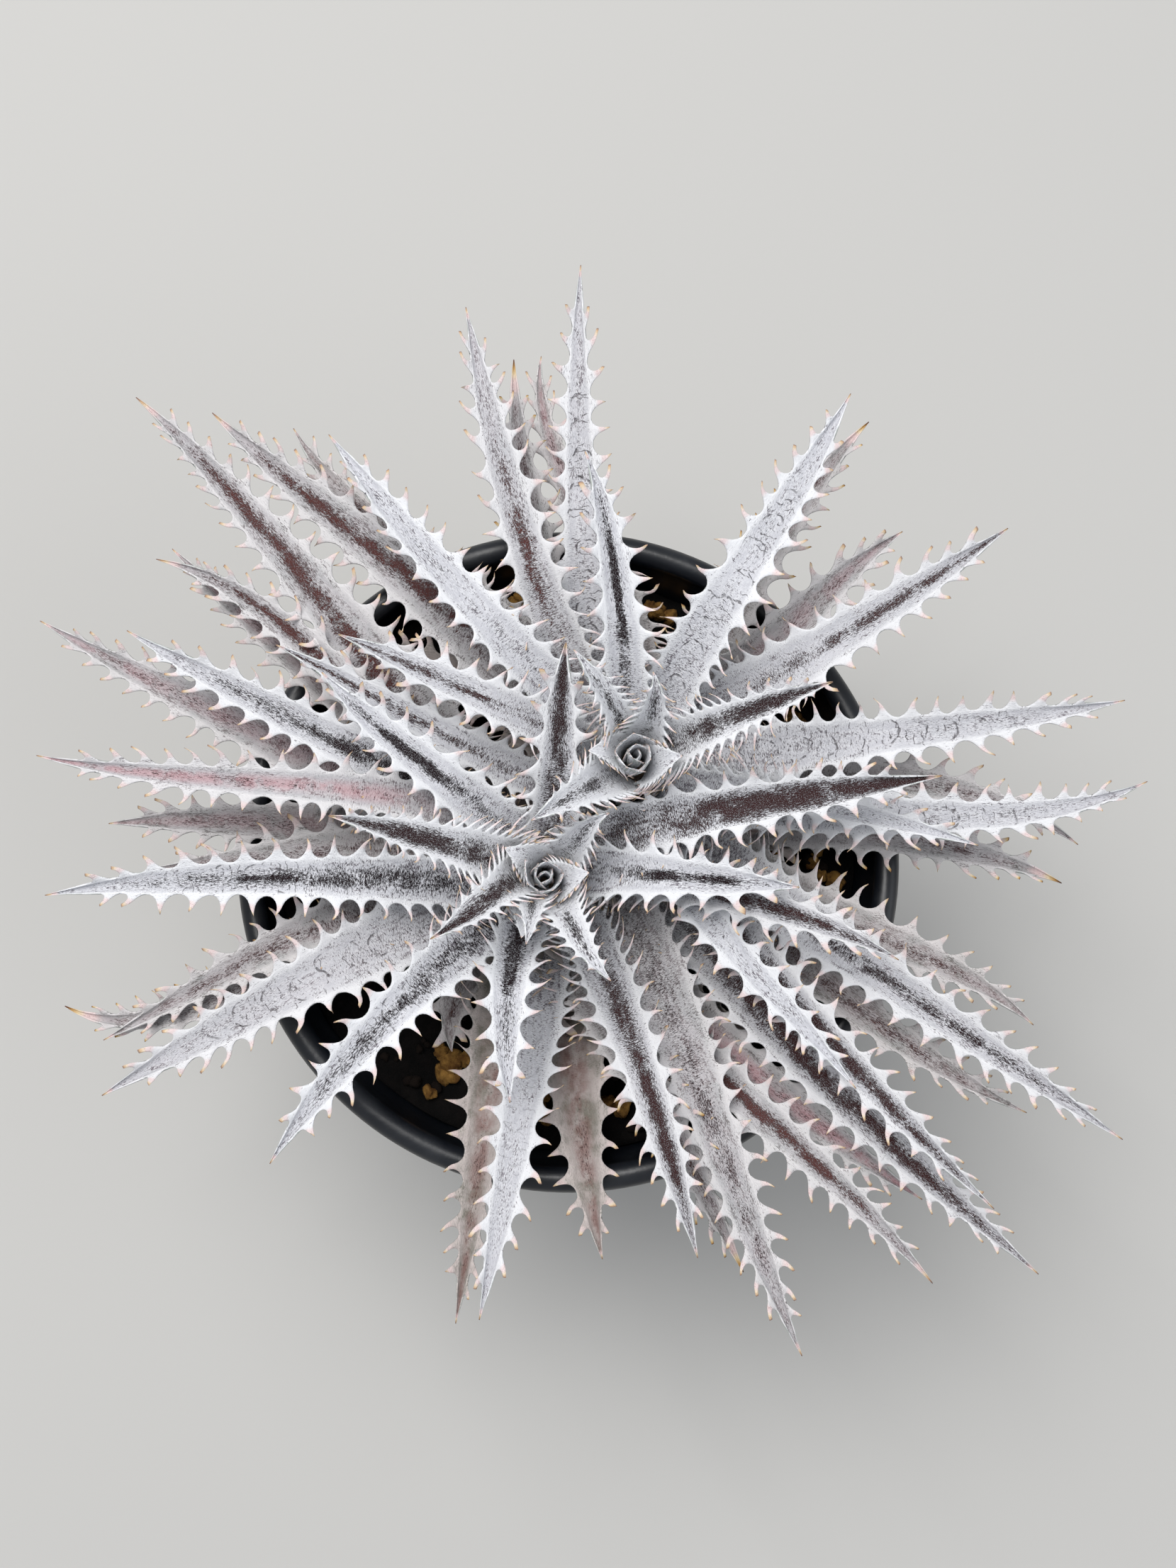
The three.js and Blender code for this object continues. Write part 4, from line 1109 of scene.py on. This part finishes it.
# %% Short leaves round the bud
HEARTS = {"A": "heart_a", "B": "heart_b"}
SHORT_FOOT = 122  # height of the heart's foot that goes with the heights in the rows below
SHORT_ROOT = 3.0  # distance of a root from the crown's axis
SHORT_DRAWS, SHORT_NOISE = 100, 60  # first seeds of the random draws and of the finish
# Place and height of each tip, headings, how long the first is kept, width and look.
SHORT_LEAVES = {
    "A": [
        (48, 29, 147, 20, 17, 0.2, 9, "dark"),
        (-1, 35, 147, 108, 127, 0.2, 7, "freckled"),
        (14, 31, 146, 65, 110, 0.33, 8, "freckled"),
        (-9, 3, 144, -145, -147, 0.33, 9.5, "freckled"),
    ],
    "B": [
        (-47, 4, 149, 158, 168, 0.2, 10, "dark"),
        (-28, -19, 146, 165, -155, 0.12, 9, "dark"),
        (6, -27, 146, -56, -42, 0.12, 8, "freckled"),
        (-10, -20, 144, -127, -107, 0.12, 7, "freckled"),
        (6, 5, 144, 45, 20, 0.33, 9, "freckled"),
    ],
}
SHORT_FORM = {
    **LONG_FORM, "thickness": 1.9, "bare": 0.5, "widths": [1.1, 1.12, 1.0, 0.72, 0.52, 0.32, 0.14, 0.0],
    "pitch": lambda share: np.interp(share, [0, 0.3, 1], [1.15, 1.7, 3.6]),
    "tooth": lambda share: np.interp(share, [0, 0.4, 1], [4.4, 4.0, 1.6]),
    "lean": lambda share: blend(-1.0, 0.2, share), "spike": lambda share: blend(0.5, 0.35, share),
}


def short_leaf_line(crown, row, lift):
    """A short leaf rises from the foot and levels out towards its tip."""
    x, y, z, root_heading, tip_heading, grip = row[:6]
    shares = np.linspace(0, 1, 33)
    plan = seen_from_above((crown, x, y, root_heading, tip_heading, grip), SHORT_ROOT, shares)
    low, high = SHORT_FOOT + 3 + lift, z + lift
    heights = bezier(*(np.array([h]) for h in (low, blend(low, high, 0.7), high, high)), shares)
    return np.column_stack([plan, heights[:, 0]])


def add_short_leaves(heart, crown, foot):
    for number, row in enumerate(SHORT_LEAVES[crown]):
        draw = np.random.default_rng(SHORT_DRAWS + number)
        form = {**SHORT_FORM, "width": row[6], "twist": draw.uniform(-0.2, 0.2)}
        line = short_leaf_line(crown, row, foot - SHORT_FOOT)
        heart.add_pile(grow_leaf(line, form, make_look(row[7], SHORT_NOISE + number), draw))


print("short leaves", {crown: len(rows) for crown, rows in SHORT_LEAVES.items()})

# %% Young leaves in the bud
SHELL_REACH = 5  # a young leaf whose tip is nearer than this to the axis is still a blunt shell
SHELL_WIDTHS = [0.9, 0.95, 1.0, 1.0, 0.9, 0.66, 0.36, 0.0]
SHELL_TOOTH, YOUNG_TOOTH = 1.1, 0.33  # length of a tooth: in millimetres, and as a share of the reach
YOUNG_START, YOUNG_ROOT = 6.0, 2.9  # height of a root above the foot, and its distance from the axis
YOUNG_DRAWS, YOUNG_NOISE = 200, 80
YOUNG_FORM = {
    **LONG_FORM, "thickness": 0.8, "bare": 2.0, "tooth_thickness": 0.3, "rings": (3, 3),
    "widths": [0.9, 0.95, 1.0, 0.84, 0.56, 0.3, 0.11, 0.0], "hook": (-0.6, 0.2),
    "pitch": lambda share: 1.1, "lean": lambda share: blend(-0.9, -0.5, share),
    "open": lambda share: 0.5, "spike": lambda share: 0.5,
}
# Direction and reach of each tip, its height above the heart's foot, and the width.
YOUNG_LEAVES = {
    "A": [
        (175, 9.4, 15.5, 7.6), (358, 8.7, 16.2, 8.4), (101, 4.0, 18.0, 8.0), (232, 3.5, 17.6, 7.0),
        (335, 2.8, 17.8, 6.0), (100, 1.9, 17.4, 4.8), (225, 1.2, 17.2, 3.8), (345, 0.6, 16.8, 2.8),
    ],
    "B": [
        (249, 12.8, 13.5, 7.6), (145, 9.5, 15.8, 8.8), (3, 8.5, 16.8, 8.8), (208, 3.9, 18.0, 8.4),
        (297, 3.4, 18.0, 7.0), (85, 2.7, 17.6, 5.8), (190, 1.9, 17.4, 4.8), (320, 1.2, 17.2, 3.6),
        (80, 0.6, 16.8, 2.8),
    ],
}
print("young leaves", {crown: len(rows) for crown, rows in YOUNG_LEAVES.items()})


# %% Rolling up a young leaf
def young_leaf_line(crown, turn, reach, height, foot):
    """A young leaf stands up beside the axis and then leans out as far as its tip reaches. Its distance
    from the axis comes back as well."""
    root = 0.72 * reach if reach < SHELL_REACH else YOUNG_ROOT
    radii = [root, blend(root, reach, 0.12), blend(root, reach, 0.55), reach]
    heights = [YOUNG_START, blend(YOUNG_START, height, 0.75), blend(YOUNG_START, height, 0.98), height]
    shares = np.linspace(0, 1, 25)
    track = bezier(*(np.array([r, h]) for r, h in zip(radii, heights)), shares)
    sweep = turn - 3.0 * reach * (1 - shares) ** 1.5
    place = CROWNS[crown] + track[:, :1] * np.stack([heading(degrees) for degrees in sweep])
    return np.column_stack([place, track[:, 1] + foot]), track[:, 0]


def young_roll(width, radii):
    """A young leaf is rolled round the axis as far as its width reaches."""
    def roll(share):
        around = np.interp(share, np.linspace(0, 1, len(radii)), radii) + 0.3
        return np.clip(width / 2 * (1 - 0.5 * share) / around, 0.5, 2.2)

    return roll


def young_tooth(reach):
    length = SHELL_TOOTH if reach < SHELL_REACH else YOUNG_TOOTH * reach
    return lambda share: length * blend(1, 0.5, share)


def add_young_leaves(heart, crown, foot):
    for number, (turn, reach, height, width) in enumerate(YOUNG_LEAVES[crown]):
        draw = np.random.default_rng(YOUNG_DRAWS + number)
        line, radii = young_leaf_line(crown, turn, reach, height, foot)
        form = {
            **YOUNG_FORM, "width": width, "twist": draw.uniform(-0.2, 0.2), "heading": heading(turn),
            "roll": young_roll(width, radii), "tooth": young_tooth(reach),
        }
        if reach < SHELL_REACH:
            form["widths"] = SHELL_WIDTHS
        heart.add_pile(grow_leaf(line, form, make_look("bud", YOUNG_NOISE + number), draw))


print("a young leaf reaches", young_leaf_line("A", 175, 9.4, 15.5, 0)[1][-1].round(1), "mm from the axis")

# %% [markdown]
# ## Under the long leaves
# Under the long leaves lie the oldest ones, short, broad and faded, and close the gaps near the stem. Over
# them, two rings of short bases hug each stem and hide its bark. They are hardly seen, and from above a
# plain collar could stand in for them. From the side and from behind it would look like a collar, so they
# are leaves too, which join the piece of their heart.

# %% The lowest ring
LOWEST_FORM = {**LONG_FORM, "widths": OLDEST_WIDTHS, "width": 12.5, "bare": 8}
LOWEST_ROOT = 113  # height of their roots
LOWEST_DRAWS, LOWEST_NOISE = 300, 90
# Direction and reach of each tip.
LOWEST_LEAVES = {
    "A": [
        (10, 42), (38, 30), (66, 24), (98, 30), (124, 40), (152, 64), (176, 44), (200, 34), (286, 50),
        (312, 46), (340, 42),
    ],
    "B": [
        (120, 34), (150, 44), (183, 38), (214, 26), (246, 22), (274, 38), (300, 46), (325, 54), (350, 46),
    ],
}


def lowest_line(crown, turn, reach):
    """A short old leaf that lies flat and droops a little."""
    shares = np.linspace(0, 1, 33)
    x, y = CROWNS[crown] + reach * heading(turn)
    plan = seen_from_above((crown, x, y, turn - 12, turn + 8, 0.33), SHORT_ROOT, shares)
    return np.column_stack([plan, LOWEST_ROOT + 4 * shares - 8 * shares**2])


def add_lowest_ring(heart, crown):
    for number, (turn, reach) in enumerate(LOWEST_LEAVES[crown]):
        draw = np.random.default_rng(LOWEST_DRAWS + number)
        form = {**LOWEST_FORM, "twist": draw.uniform(-0.3, 0.3)}
        line = lowest_line(crown, turn, reach)
        heart.add_pile(grow_leaf(line, form, make_look("green", LOWEST_NOISE + number), draw))


print("lowest leaves", {crown: len(rows) for crown, rows in LOWEST_LEAVES.items()})


# %% The bases that clasp the stem
SHEATHS = 7  # in a ring
SHEATH_STARTS = (-16.0, -9.5)  # of each ring, from the heart's foot
SHEATH_WIDTH = 8.4
SHEATH_DRAWS, SHEATH_NOISE = 400, 40
SHEATH_FORM = {
    **YOUNG_FORM, "thickness": 1.0, "bare": 5, "width": SHEATH_WIDTH, "twist": 0,
    "widths": [1.0, 1.0, 1.0, 0.92, 0.7, 0.42, 0.18, 0.0], "pitch": lambda share: 2.2,
    "tooth": lambda share: blend(2.2, 1.0, share),
}


def stem_radius(height):
    """The stems are cones between these heights."""
    return np.interp(height, [105, 124], [12, 6])


def sheath_line(crown, turn, start, clearance):
    """A base hugs the stem for most of its length and turns out at its tip."""
    inner = stem_radius(start) + clearance
    radii, rises = [inner, inner - 0.3, inner, inner + 3], [0, 5, 9.5, 13.5]
    track = bezier(*(np.array([r, start + rise]) for r, rise in zip(radii, rises)), np.linspace(0, 1, 17))
    return np.column_stack([CROWNS[crown] + track[:, :1] * heading(turn), track[:, 1]])


def add_sheaths(heart, crown, foot):
    for ring, start in enumerate(SHEATH_STARTS):
        clasp = SHEATH_WIDTH / 2 / stem_radius(foot + start)
        for number in range(SHEATHS):
            draw = np.random.default_rng(SHEATH_DRAWS + 10 * ring + number)
            turn = (number + ring / 2) * 360 / SHEATHS
            line = sheath_line(crown, turn, foot + start, 0.3 + 0.6 * (number % 2))
            form = {**SHEATH_FORM, "heading": heading(turn)}
            form["roll"] = lambda share, clasp=clasp: clasp + 0 * share
            heart.add_pile(grow_leaf(line, form, make_look("bud", SHEATH_NOISE + number), draw))


print("bases on each stem", SHEATHS * len(SHEATH_STARTS))

# %% Growing the hearts
for crown, node in HEARTS.items():
    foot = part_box(node)[0].z / MM
    heart = Pile()
    add_lowest_ring(heart, crown)
    add_sheaths(heart, crown, foot)
    add_short_leaves(heart, crown, foot)
    add_young_leaves(heart, crown, foot)
    piece = heart.piece(f"fine_{node}", young_leaf_fur)
    settle(piece, "young_leaf_fur", node)
    print(node, "foot", round(foot, 1), "faces", len(piece.data.polygons))

# %% [markdown]
# ## The pot
# A nursery pot is moulded from black polypropylene: a thin tapered wall, a floor with drain holes and a
# rolled rim, which is what shows between the leaves. A Screw modifier could turn it from a drawn line. It
# is turned here by a function from a list of points, because the drills need it as well and the roll of
# the rim gets enough steps for a smooth highlight. The drain holes are cut out with a Boolean.

# %% Pot profile
POT_HEIGHT, POT_BASE, POT_NECK, POT_RIM = 115, 47.5, 66, 70
POT_WALL, POT_FLOOR, RIM_ROLL = 1.6, 2.4, 2.7
POT_CORNER, POT_INSET = 1.2, 1.6  # radius of the corner under the floor, and how far in its middle lies
FLOOR_RING = 30  # a ring of points in the floor, outside the axis
CAP_RADIUS = 1.0  # of the cap that closes a turned surface at its axis


def wall_radius(height):
    return blend(POT_BASE, POT_NECK, height / POT_HEIGHT)


def arc(centre, radius, start, end, steps):
    for degrees in np.linspace(start, end, steps):
        turn = math.radians(degrees)
        yield centre[0] + radius * math.cos(turn), centre[1] + radius * math.sin(turn)


corner = (POT_BASE - POT_INSET, POT_CORNER)
rim_centre = (POT_RIM - RIM_ROLL, POT_HEIGHT - RIM_ROLL)
under_rim = POT_HEIGHT - 3 * RIM_ROLL
inner_base = wall_radius(POT_FLOOR) - POT_WALL
outside = [(wall_radius(h), h) for h in np.linspace(2, under_rim - 1, 12)]
profile = [
    (CAP_RADIUS, 0), (FLOOR_RING, 0), *arc(corner, POT_CORNER, -90, -5, 6), *outside,
    (wall_radius(under_rim) + 0.2, under_rim), *arc(rim_centre, RIM_ROLL, -60, 200, 26),
    (wall_radius(under_rim) - POT_WALL, under_rim), (wall_radius(60) - POT_WALL, 60),
    (inner_base, POT_FLOOR + 1), (inner_base - 1, POT_FLOOR),
    (FLOOR_RING, POT_FLOOR), (CAP_RADIUS, POT_FLOOR),
]
print("points of the profile", len(profile))


# %% Turning a profile
def ring_indices(rings, spokes):
    """Numbers of the points of closed rings, and of the points that follow them round each ring."""
    index = np.arange(rings * spokes).reshape(rings, spokes)
    return index, np.roll(index, -1, axis=1)


def turned(profile, sides):
    """A closed surface turned about the upright axis. The profile starts and ends close to the axis,
    where a cap closes it."""
    turns = np.linspace(0, 2 * math.pi, sides, endpoint=False)
    radius, height = np.array(profile).T
    points = np.stack([
        radius[:, None] * np.cos(turns), radius[:, None] * np.sin(turns), np.repeat(height[:, None], sides, 1)
    ], axis=-1)
    pile = Pile()
    pile.add_points(points)
    index, following = ring_indices(len(profile), sides)
    pile.add_faces(np.stack([index[:-1], following[:-1], following[1:], index[1:]], axis=-1))
    pile.add_faces(cap_faces(index[0]), flip=True)
    pile.add_faces(cap_faces(index[-1]))
    return pile


print("faces of a turned disc", len(np.concatenate(turned([(1, 0), (5, 0), (5, 1), (1, 1)], 32).faces)))

# %% Pot material
# Dust lies in soft clouds. Scuffs run round the pot, so their noise is stretched that way.
BLACK, DUSTY = (0.005, 0.0065, 0.010, 1), (0.026, 0.029, 0.034, 1)
GRAIN_DEPTH = 0.00003  # in metres
plastic, wires, inputs = start_material("pot_plastic", 0.42, Specular_IOR_Level=0.5)
where = wires.node("ShaderNodeTexCoord").outputs["Object"]
dust = wires.spread(wires.noise(where, 60.0, 5.0, 0.65), 0.45, 0.75)
scuffs = wires.spread(wires.noise(wires.stretch(where, (1, 1, 6)), 180.0, 3.0, 0.6), 0.6, 0.75)
grime = wires.plus(wires.times(dust, 0.5), wires.times(scuffs, 0.3), clamp=True)
black = wires.colour(grime, BLACK, DUSTY)
rough = wires.spread(grime, 0.0, 1.0, 0.34, 0.65)
finish_material(wires, inputs, black, rough, wires.noise(where, 900.0, 2.0), GRAIN_DEPTH)
print("material", plastic.name)

# %% Pot mesh
POT_SIDES, DRILL_SIDES = 160, 32
DRAIN_HOLES, DRAIN_RADIUS, DRAIN_CIRCLE = 6, 4.5, 34
DRILL_LOW, DRILL_HIGH = -2, 5  # the drills pass through the floor
drill_profile = [
    (CAP_RADIUS, DRILL_LOW), (DRAIN_RADIUS, DRILL_LOW), (DRAIN_RADIUS, DRILL_HIGH), (CAP_RADIUS, DRILL_HIGH),
]
pot = turned(profile, POT_SIDES).piece("fine_pot", plastic)
drills = Pile()
for number in range(DRAIN_HOLES):
    middle = DRAIN_CIRCLE * heading((number + 0.5) * 360 / DRAIN_HOLES)
    drill = turned(drill_profile, DRILL_SIDES)
    drill.points = [points + np.array([*middle, 0]) for points in drill.points]
    drills.add_pile(drill)
cutter = drills.piece("drills", plastic)
holes = pot.modifiers.new("holes", "BOOLEAN")
holes.object = cutter
holes.solver = "EXACT"
finished = bpy.data.meshes.new_from_object(pot.evaluated_get(bpy.context.evaluated_depsgraph_get()))
pot.modifiers.clear()
pot.data = finished
bpy.data.objects.remove(cutter)
settle(pot, "pot_plastic", "pot")
print("pot faces", len(pot.data.polygons))

# %% [markdown]
# ## The soil
# Damp potting compost, painted near black as painted shade of the deep pot: a lumpy surface with crumbs,
# and a few ochre granules of baked clay. A bump in the material would look flat from the side, so the
# surface is a round grid pushed up and down by noise. The crumbs are small, dented balls, half sunk in it.
# They could be dropped by a simulation, but they are so small that a random place and a fixed depth look
# the same.

# %% Soil surface
SOIL_LEVEL = 102
TOP_GAP, SIDE_GAP = 0.3, 0.35  # between the soil and the pot
SOIL_RADIUS = wall_radius(SOIL_LEVEL) - POT_WALL - TOP_GAP
SOIL_BOTTOM = POT_FLOOR + SIDE_GAP
SIDE_HEIGHTS = (96, 75, 50, 25, SOIL_BOTTOM)
MOUND_HEIGHT, MOUND_SPREAD = 2.2, 1500
LUMP_HEIGHT = 1.1


def soil_height(x, y):
    """A low mound in the middle, with long waves and small lumps."""
    mound = MOUND_HEIGHT * math.exp(-(x * x + y * y) / MOUND_SPREAD)
    waves = 0.55 * math.sin(x * 0.31 + 1) * math.cos(y * 0.27) + 0.4 * math.sin(x * 0.13 - y * 0.22)
    lumps = noise.fractal(Vector((x, y, 0)) * 0.16, 1.0, 2.0, 4) * LUMP_HEIGHT
    return SOIL_LEVEL + mound + waves + lumps


rings, spokes = 56, 168
soil = Pile()
turns = np.linspace(0, 2 * math.pi, spokes, endpoint=False)
radii = [CAP_RADIUS, *np.linspace(SOIL_RADIUS / rings, SOIL_RADIUS, rings)]
surface = [[(r * math.cos(t), r * math.sin(t)) for t in turns] for r in radii]
points = [[(x, y, soil_height(x, y)) for x, y in ring] for ring in surface]
sides = [(wall_radius(height) - POT_WALL - SIDE_GAP, height) for height in SIDE_HEIGHTS]
sides.append((CAP_RADIUS, SOIL_BOTTOM))
points += [[(r * math.cos(t), r * math.sin(t), z) for t in turns] for r, z in sides]
soil.add_points(points, grain=0)
index, following = ring_indices(len(points), spokes)
soil.add_faces(np.stack([index[:-1], index[1:], following[1:], following[:-1]], axis=-1))
soil.add_faces(cap_faces(index[0]))
soil.add_faces(cap_faces(index[-1]), flip=True)
print("soil surface points", soil.count)


# %% A dented ball
def ball(steps):
    """A cube with rounded faces: points on the unit ball, and faces with four corners."""
    side = np.linspace(-1, 1, steps + 1)
    a, b = np.meshgrid(side, side, indexing="ij")
    one = np.ones_like(a)
    sheets = [(a, b, one), (b, a, -one), (one, a, b), (-one, b, a), (b, one, a), (a, -one, b)]
    points = np.concatenate([np.stack(sheet, axis=-1).reshape(-1, 3) for sheet in sheets])
    faces = [grid_faces(k * (steps + 1) ** 2, steps + 1, steps + 1) for k in range(6)]
    points, number = np.unique(points.round(6), axis=0, return_inverse=True)
    return points / np.linalg.norm(points, axis=1)[:, None], number.reshape(-1)[np.concatenate(faces)]


def add_lump(shape, x, y, size, grain, draw):
    """A ball that is stretched, dented and turned at random. grain tells the material what it is."""
    points, faces = shape
    radii = size * draw.uniform(0.7, 1, 3)
    dents = [1 + 0.5 * noise.noise(Vector(p) * 1.4 + Vector((x, y, 0))) for p in points]
    shaped = points * radii * np.array(dents)[:, None]
    spin = heading(draw.uniform(0, 360))
    shaped[:, :2] = shaped[:, :2] @ np.array([[spin[0], spin[1]], [-spin[1], spin[0]]])
    start = soil.add_points(shaped + (x, y, soil_height(x, y) + 0.35 * radii[2]), grain=grain)
    soil.add_faces(faces + start)


crumb, granule = ball(3), ball(6)
print("faces of a crumb", len(crumb[1]), "and of a granule", len(granule[1]))

# %% Crumbs and granules
CRUMBS = 420
CRUMB_GRAIN, CLAY_GRAIN = 0.3, 1.0
CLUSTER_RADIUS = 3.1
draw = np.random.default_rng(5)
for _ in range(CRUMBS):
    x, y = math.sqrt(draw.uniform(0.03, 0.9)) * SOIL_RADIUS * heading(draw.uniform(0, 360))
    add_lump(crumb, x, y, draw.uniform(0.6, 1.9), CRUMB_GRAIN, draw)
# Middles of the clusters of baked clay, and how many granules lie in each.
CLAY = [
    (-25, -43, 5), (-17, -50, 3), (21, 58, 4), (53, 33, 3), (53, -1, 3), (58, -5, 2), (45, 2, 3),
    (-7, -53, 4), (8, -52, 3), (-13, 62, 2), (37, 34, 2), (59, -22, 2), (-52, 24, 2), (-30, -50, 1),
]
for x, y, count in CLAY:
    for number in range(count):
        aside = CLUSTER_RADIUS * heading(number * 130 + 10 * x) * min(number, 1)
        place = np.array([x, y]) + aside
        place *= min(1, (SOIL_RADIUS - 4) / np.linalg.norm(place))
        add_lump(granule, *place, draw.uniform(1.6, 2.7), CLAY_GRAIN, draw)
print("soil faces", sum(len(faces) for faces in soil.faces))

# %% Soil material
# The grain on the mesh is 0 on the soil, 0.3 on a crumb and 1 on a granule.
# The earth and crumb colours are far darker than compost: painted shade of the deep pot over the earth's own
# dark brown.
SHADED_EARTH_DARK, SHADED_EARTH_LIGHT = (0.0008, 0.0007, 0.0007, 1), (0.0045, 0.0033, 0.003, 1)
SHADED_CRUMB_DARK, SHADED_CRUMB_LIGHT = (0.003, 0.002, 0.0017, 1), (0.015, 0.009, 0.006, 1)
CLAY_DARK, CLAY_LIGHT = (0.09, 0.038, 0.010, 1), (0.33, 0.18, 0.045, 1)
EARTH_DEPTH = 0.0006  # in metres
earth, wires, inputs = start_material("potting_soil", 0.95, Specular_IOR_Level=0.2)
where = wires.node("ShaderNodeTexCoord").outputs["Object"]
grain = wires.value("grain")
mottled = wires.noise(where, 320.0, 4.0, 0.7)
dark = wires.colour(wires.spread(mottled, 0.35, 0.7), SHADED_EARTH_DARK, SHADED_EARTH_LIGHT)
crumbly = wires.colour(mottled, SHADED_CRUMB_DARK, SHADED_CRUMB_LIGHT)
clay = wires.colour(wires.spread(mottled, 0.3, 0.7), CLAY_DARK, CLAY_LIGHT)
colour = wires.colour(wires.spread(grain, 0.0, CRUMB_GRAIN), dark, crumbly)
colour = wires.colour(wires.spread(grain, 0.5, CLAY_GRAIN), colour, clay)
finish_material(wires, inputs, colour, None, wires.noise(where, 700.0, 5.0, 0.7), EARTH_DEPTH)
piece = soil.piece("fine_soil", earth)
settle(piece, "potting_soil", "soil")
print("material", earth.name)

# %% [markdown]
# ## The stem
# The stem is a short stock that forks to both crowns, and it hardly shows. It could be made again like
# the leaves, but its solid has the right shape, so it stays, under a bark of dry, brown, ringed leaf
# bases.

# %% Stem material
BARK_DARK, BARK_LIGHT = (0.035, 0.022, 0.014, 1), (0.19, 0.125, 0.08, 1)
FLAKE = (0.34, 0.29, 0.25, 1)
BARK_DEPTH = 0.0012  # in metres
bark, wires, inputs = start_material("stem_bark", 0.9, Specular_IOR_Level=0.2)
where = wires.node("ShaderNodeTexCoord").outputs["Object"]
rings = wires.noise(wires.stretch(where, (1, 1, 7)), 110.0, 3.0, 0.6, 0.6)
flakes = wires.noise(where, 420.0, 4.0, 0.65)
brown = wires.colour(wires.spread(rings, 0.35, 0.65), BARK_DARK, BARK_LIGHT)
brown = wires.colour(wires.times(wires.spread(flakes, 0.5, 0.75), 0.6), brown, FLAKE)
finish_material(wires, inputs, brown, None, wires.plus(rings, wires.times(flakes, 0.5)), BARK_DEPTH)
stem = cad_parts["stem"]
stem.data.materials.clear()
stem.data.materials.append(bark)
print("material", bark.name)

# %% [markdown]
# ## Floor, light and camera
# The object stands on a plain pale floor in soft studio light: a big light high above, a little behind
# and to the left, a weaker one on the right, and a bright, even surround. A sun would draw hard shadows of
# the teeth on the leaves below, where the felt needs shade with soft edges. The camera looks almost
# straight down on the plant, a little from the front.

# %% Floor
FLOOR_SIZE = 3.0
floor = Pile()
half = FLOOR_SIZE / 2 / MM
floor.add_points([(-half, -half, 0), (half, -half, 0), (-half, half, 0), (half, half, 0)])
floor.add_faces([[0, 1, 3, 2]])
pale, wires, inputs = start_material("floor_pale", 0.8, Specular_IOR_Level=0.2)
finish_material(wires, inputs, (0.50, 0.495, 0.48, 1))
ground = floor.piece("floor", pale)
print("floor", FLOOR_SIZE, "m")


# %% Lights
AIM = Vector((0, 0, 0.12))  # the middle of the leaves


def soft_light(name, place, size, power, colour):
    lamp = bpy.data.lights.new(name, "AREA")
    lamp.shape = "SQUARE"
    lamp.size = size
    lamp.energy = power
    lamp.color = colour
    light = bpy.data.objects.new(name, lamp)
    light.location = place
    light.rotation_euler = (AIM - Vector(place)).to_track_quat("-Z", "Y").to_euler()
    bpy.context.scene.collection.objects.link(light)


soft_light("key", place=(-0.42, 0.5, 1.5), size=0.9, power=23.5, colour=(1.0, 0.985, 0.965))
soft_light("fill", place=(1.2, -0.5, 1.0), size=1.2, power=5, colour=(0.94, 0.97, 1.0))
world = bpy.data.worlds.new("surround")
world.use_nodes = True
surround = world.node_tree.nodes["Background"].inputs
surround["Color"].default_value = (0.93, 0.955, 1.0, 1)
surround["Strength"].default_value = 0.5
bpy.context.scene.world = world
bpy.context.scene.view_settings.view_transform = "Standard"

# %% Camera
CAMERA_PLACE = Vector((-0.0143, -0.0321, 0.5137))
CAMERA_LOOK = Vector((0.0446, 0.1172, -0.9921))
CAMERA_UP = Vector((0.0, 0.9931, 0.1173))
HEIGHT_IN_FOCAL_LENGTHS = 2212 / 2684  # of the frame, both in pixels
lens = bpy.data.cameras.new("camera")
lens.sensor_fit = "VERTICAL"
lens.sensor_height = 24
lens.lens = lens.sensor_height / HEIGHT_IN_FOCAL_LENGTHS
lens.clip_start = 0.01
camera = bpy.data.objects.new("camera", lens)
right = CAMERA_LOOK.cross(CAMERA_UP).normalized()
true_up = right.cross(CAMERA_LOOK).normalized()
back = -CAMERA_LOOK.normalized()
camera.matrix_world = Matrix([
    [right.x, true_up.x, back.x, CAMERA_PLACE.x],
    [right.y, true_up.y, back.y, CAMERA_PLACE.y],
    [right.z, true_up.z, back.z, CAMERA_PLACE.z],
    [0, 0, 0, 1],
])
bpy.context.scene.collection.objects.link(camera)
bpy.context.scene.camera = camera
print("focal length", round(lens.lens, 2), "mm")

# %% [markdown]
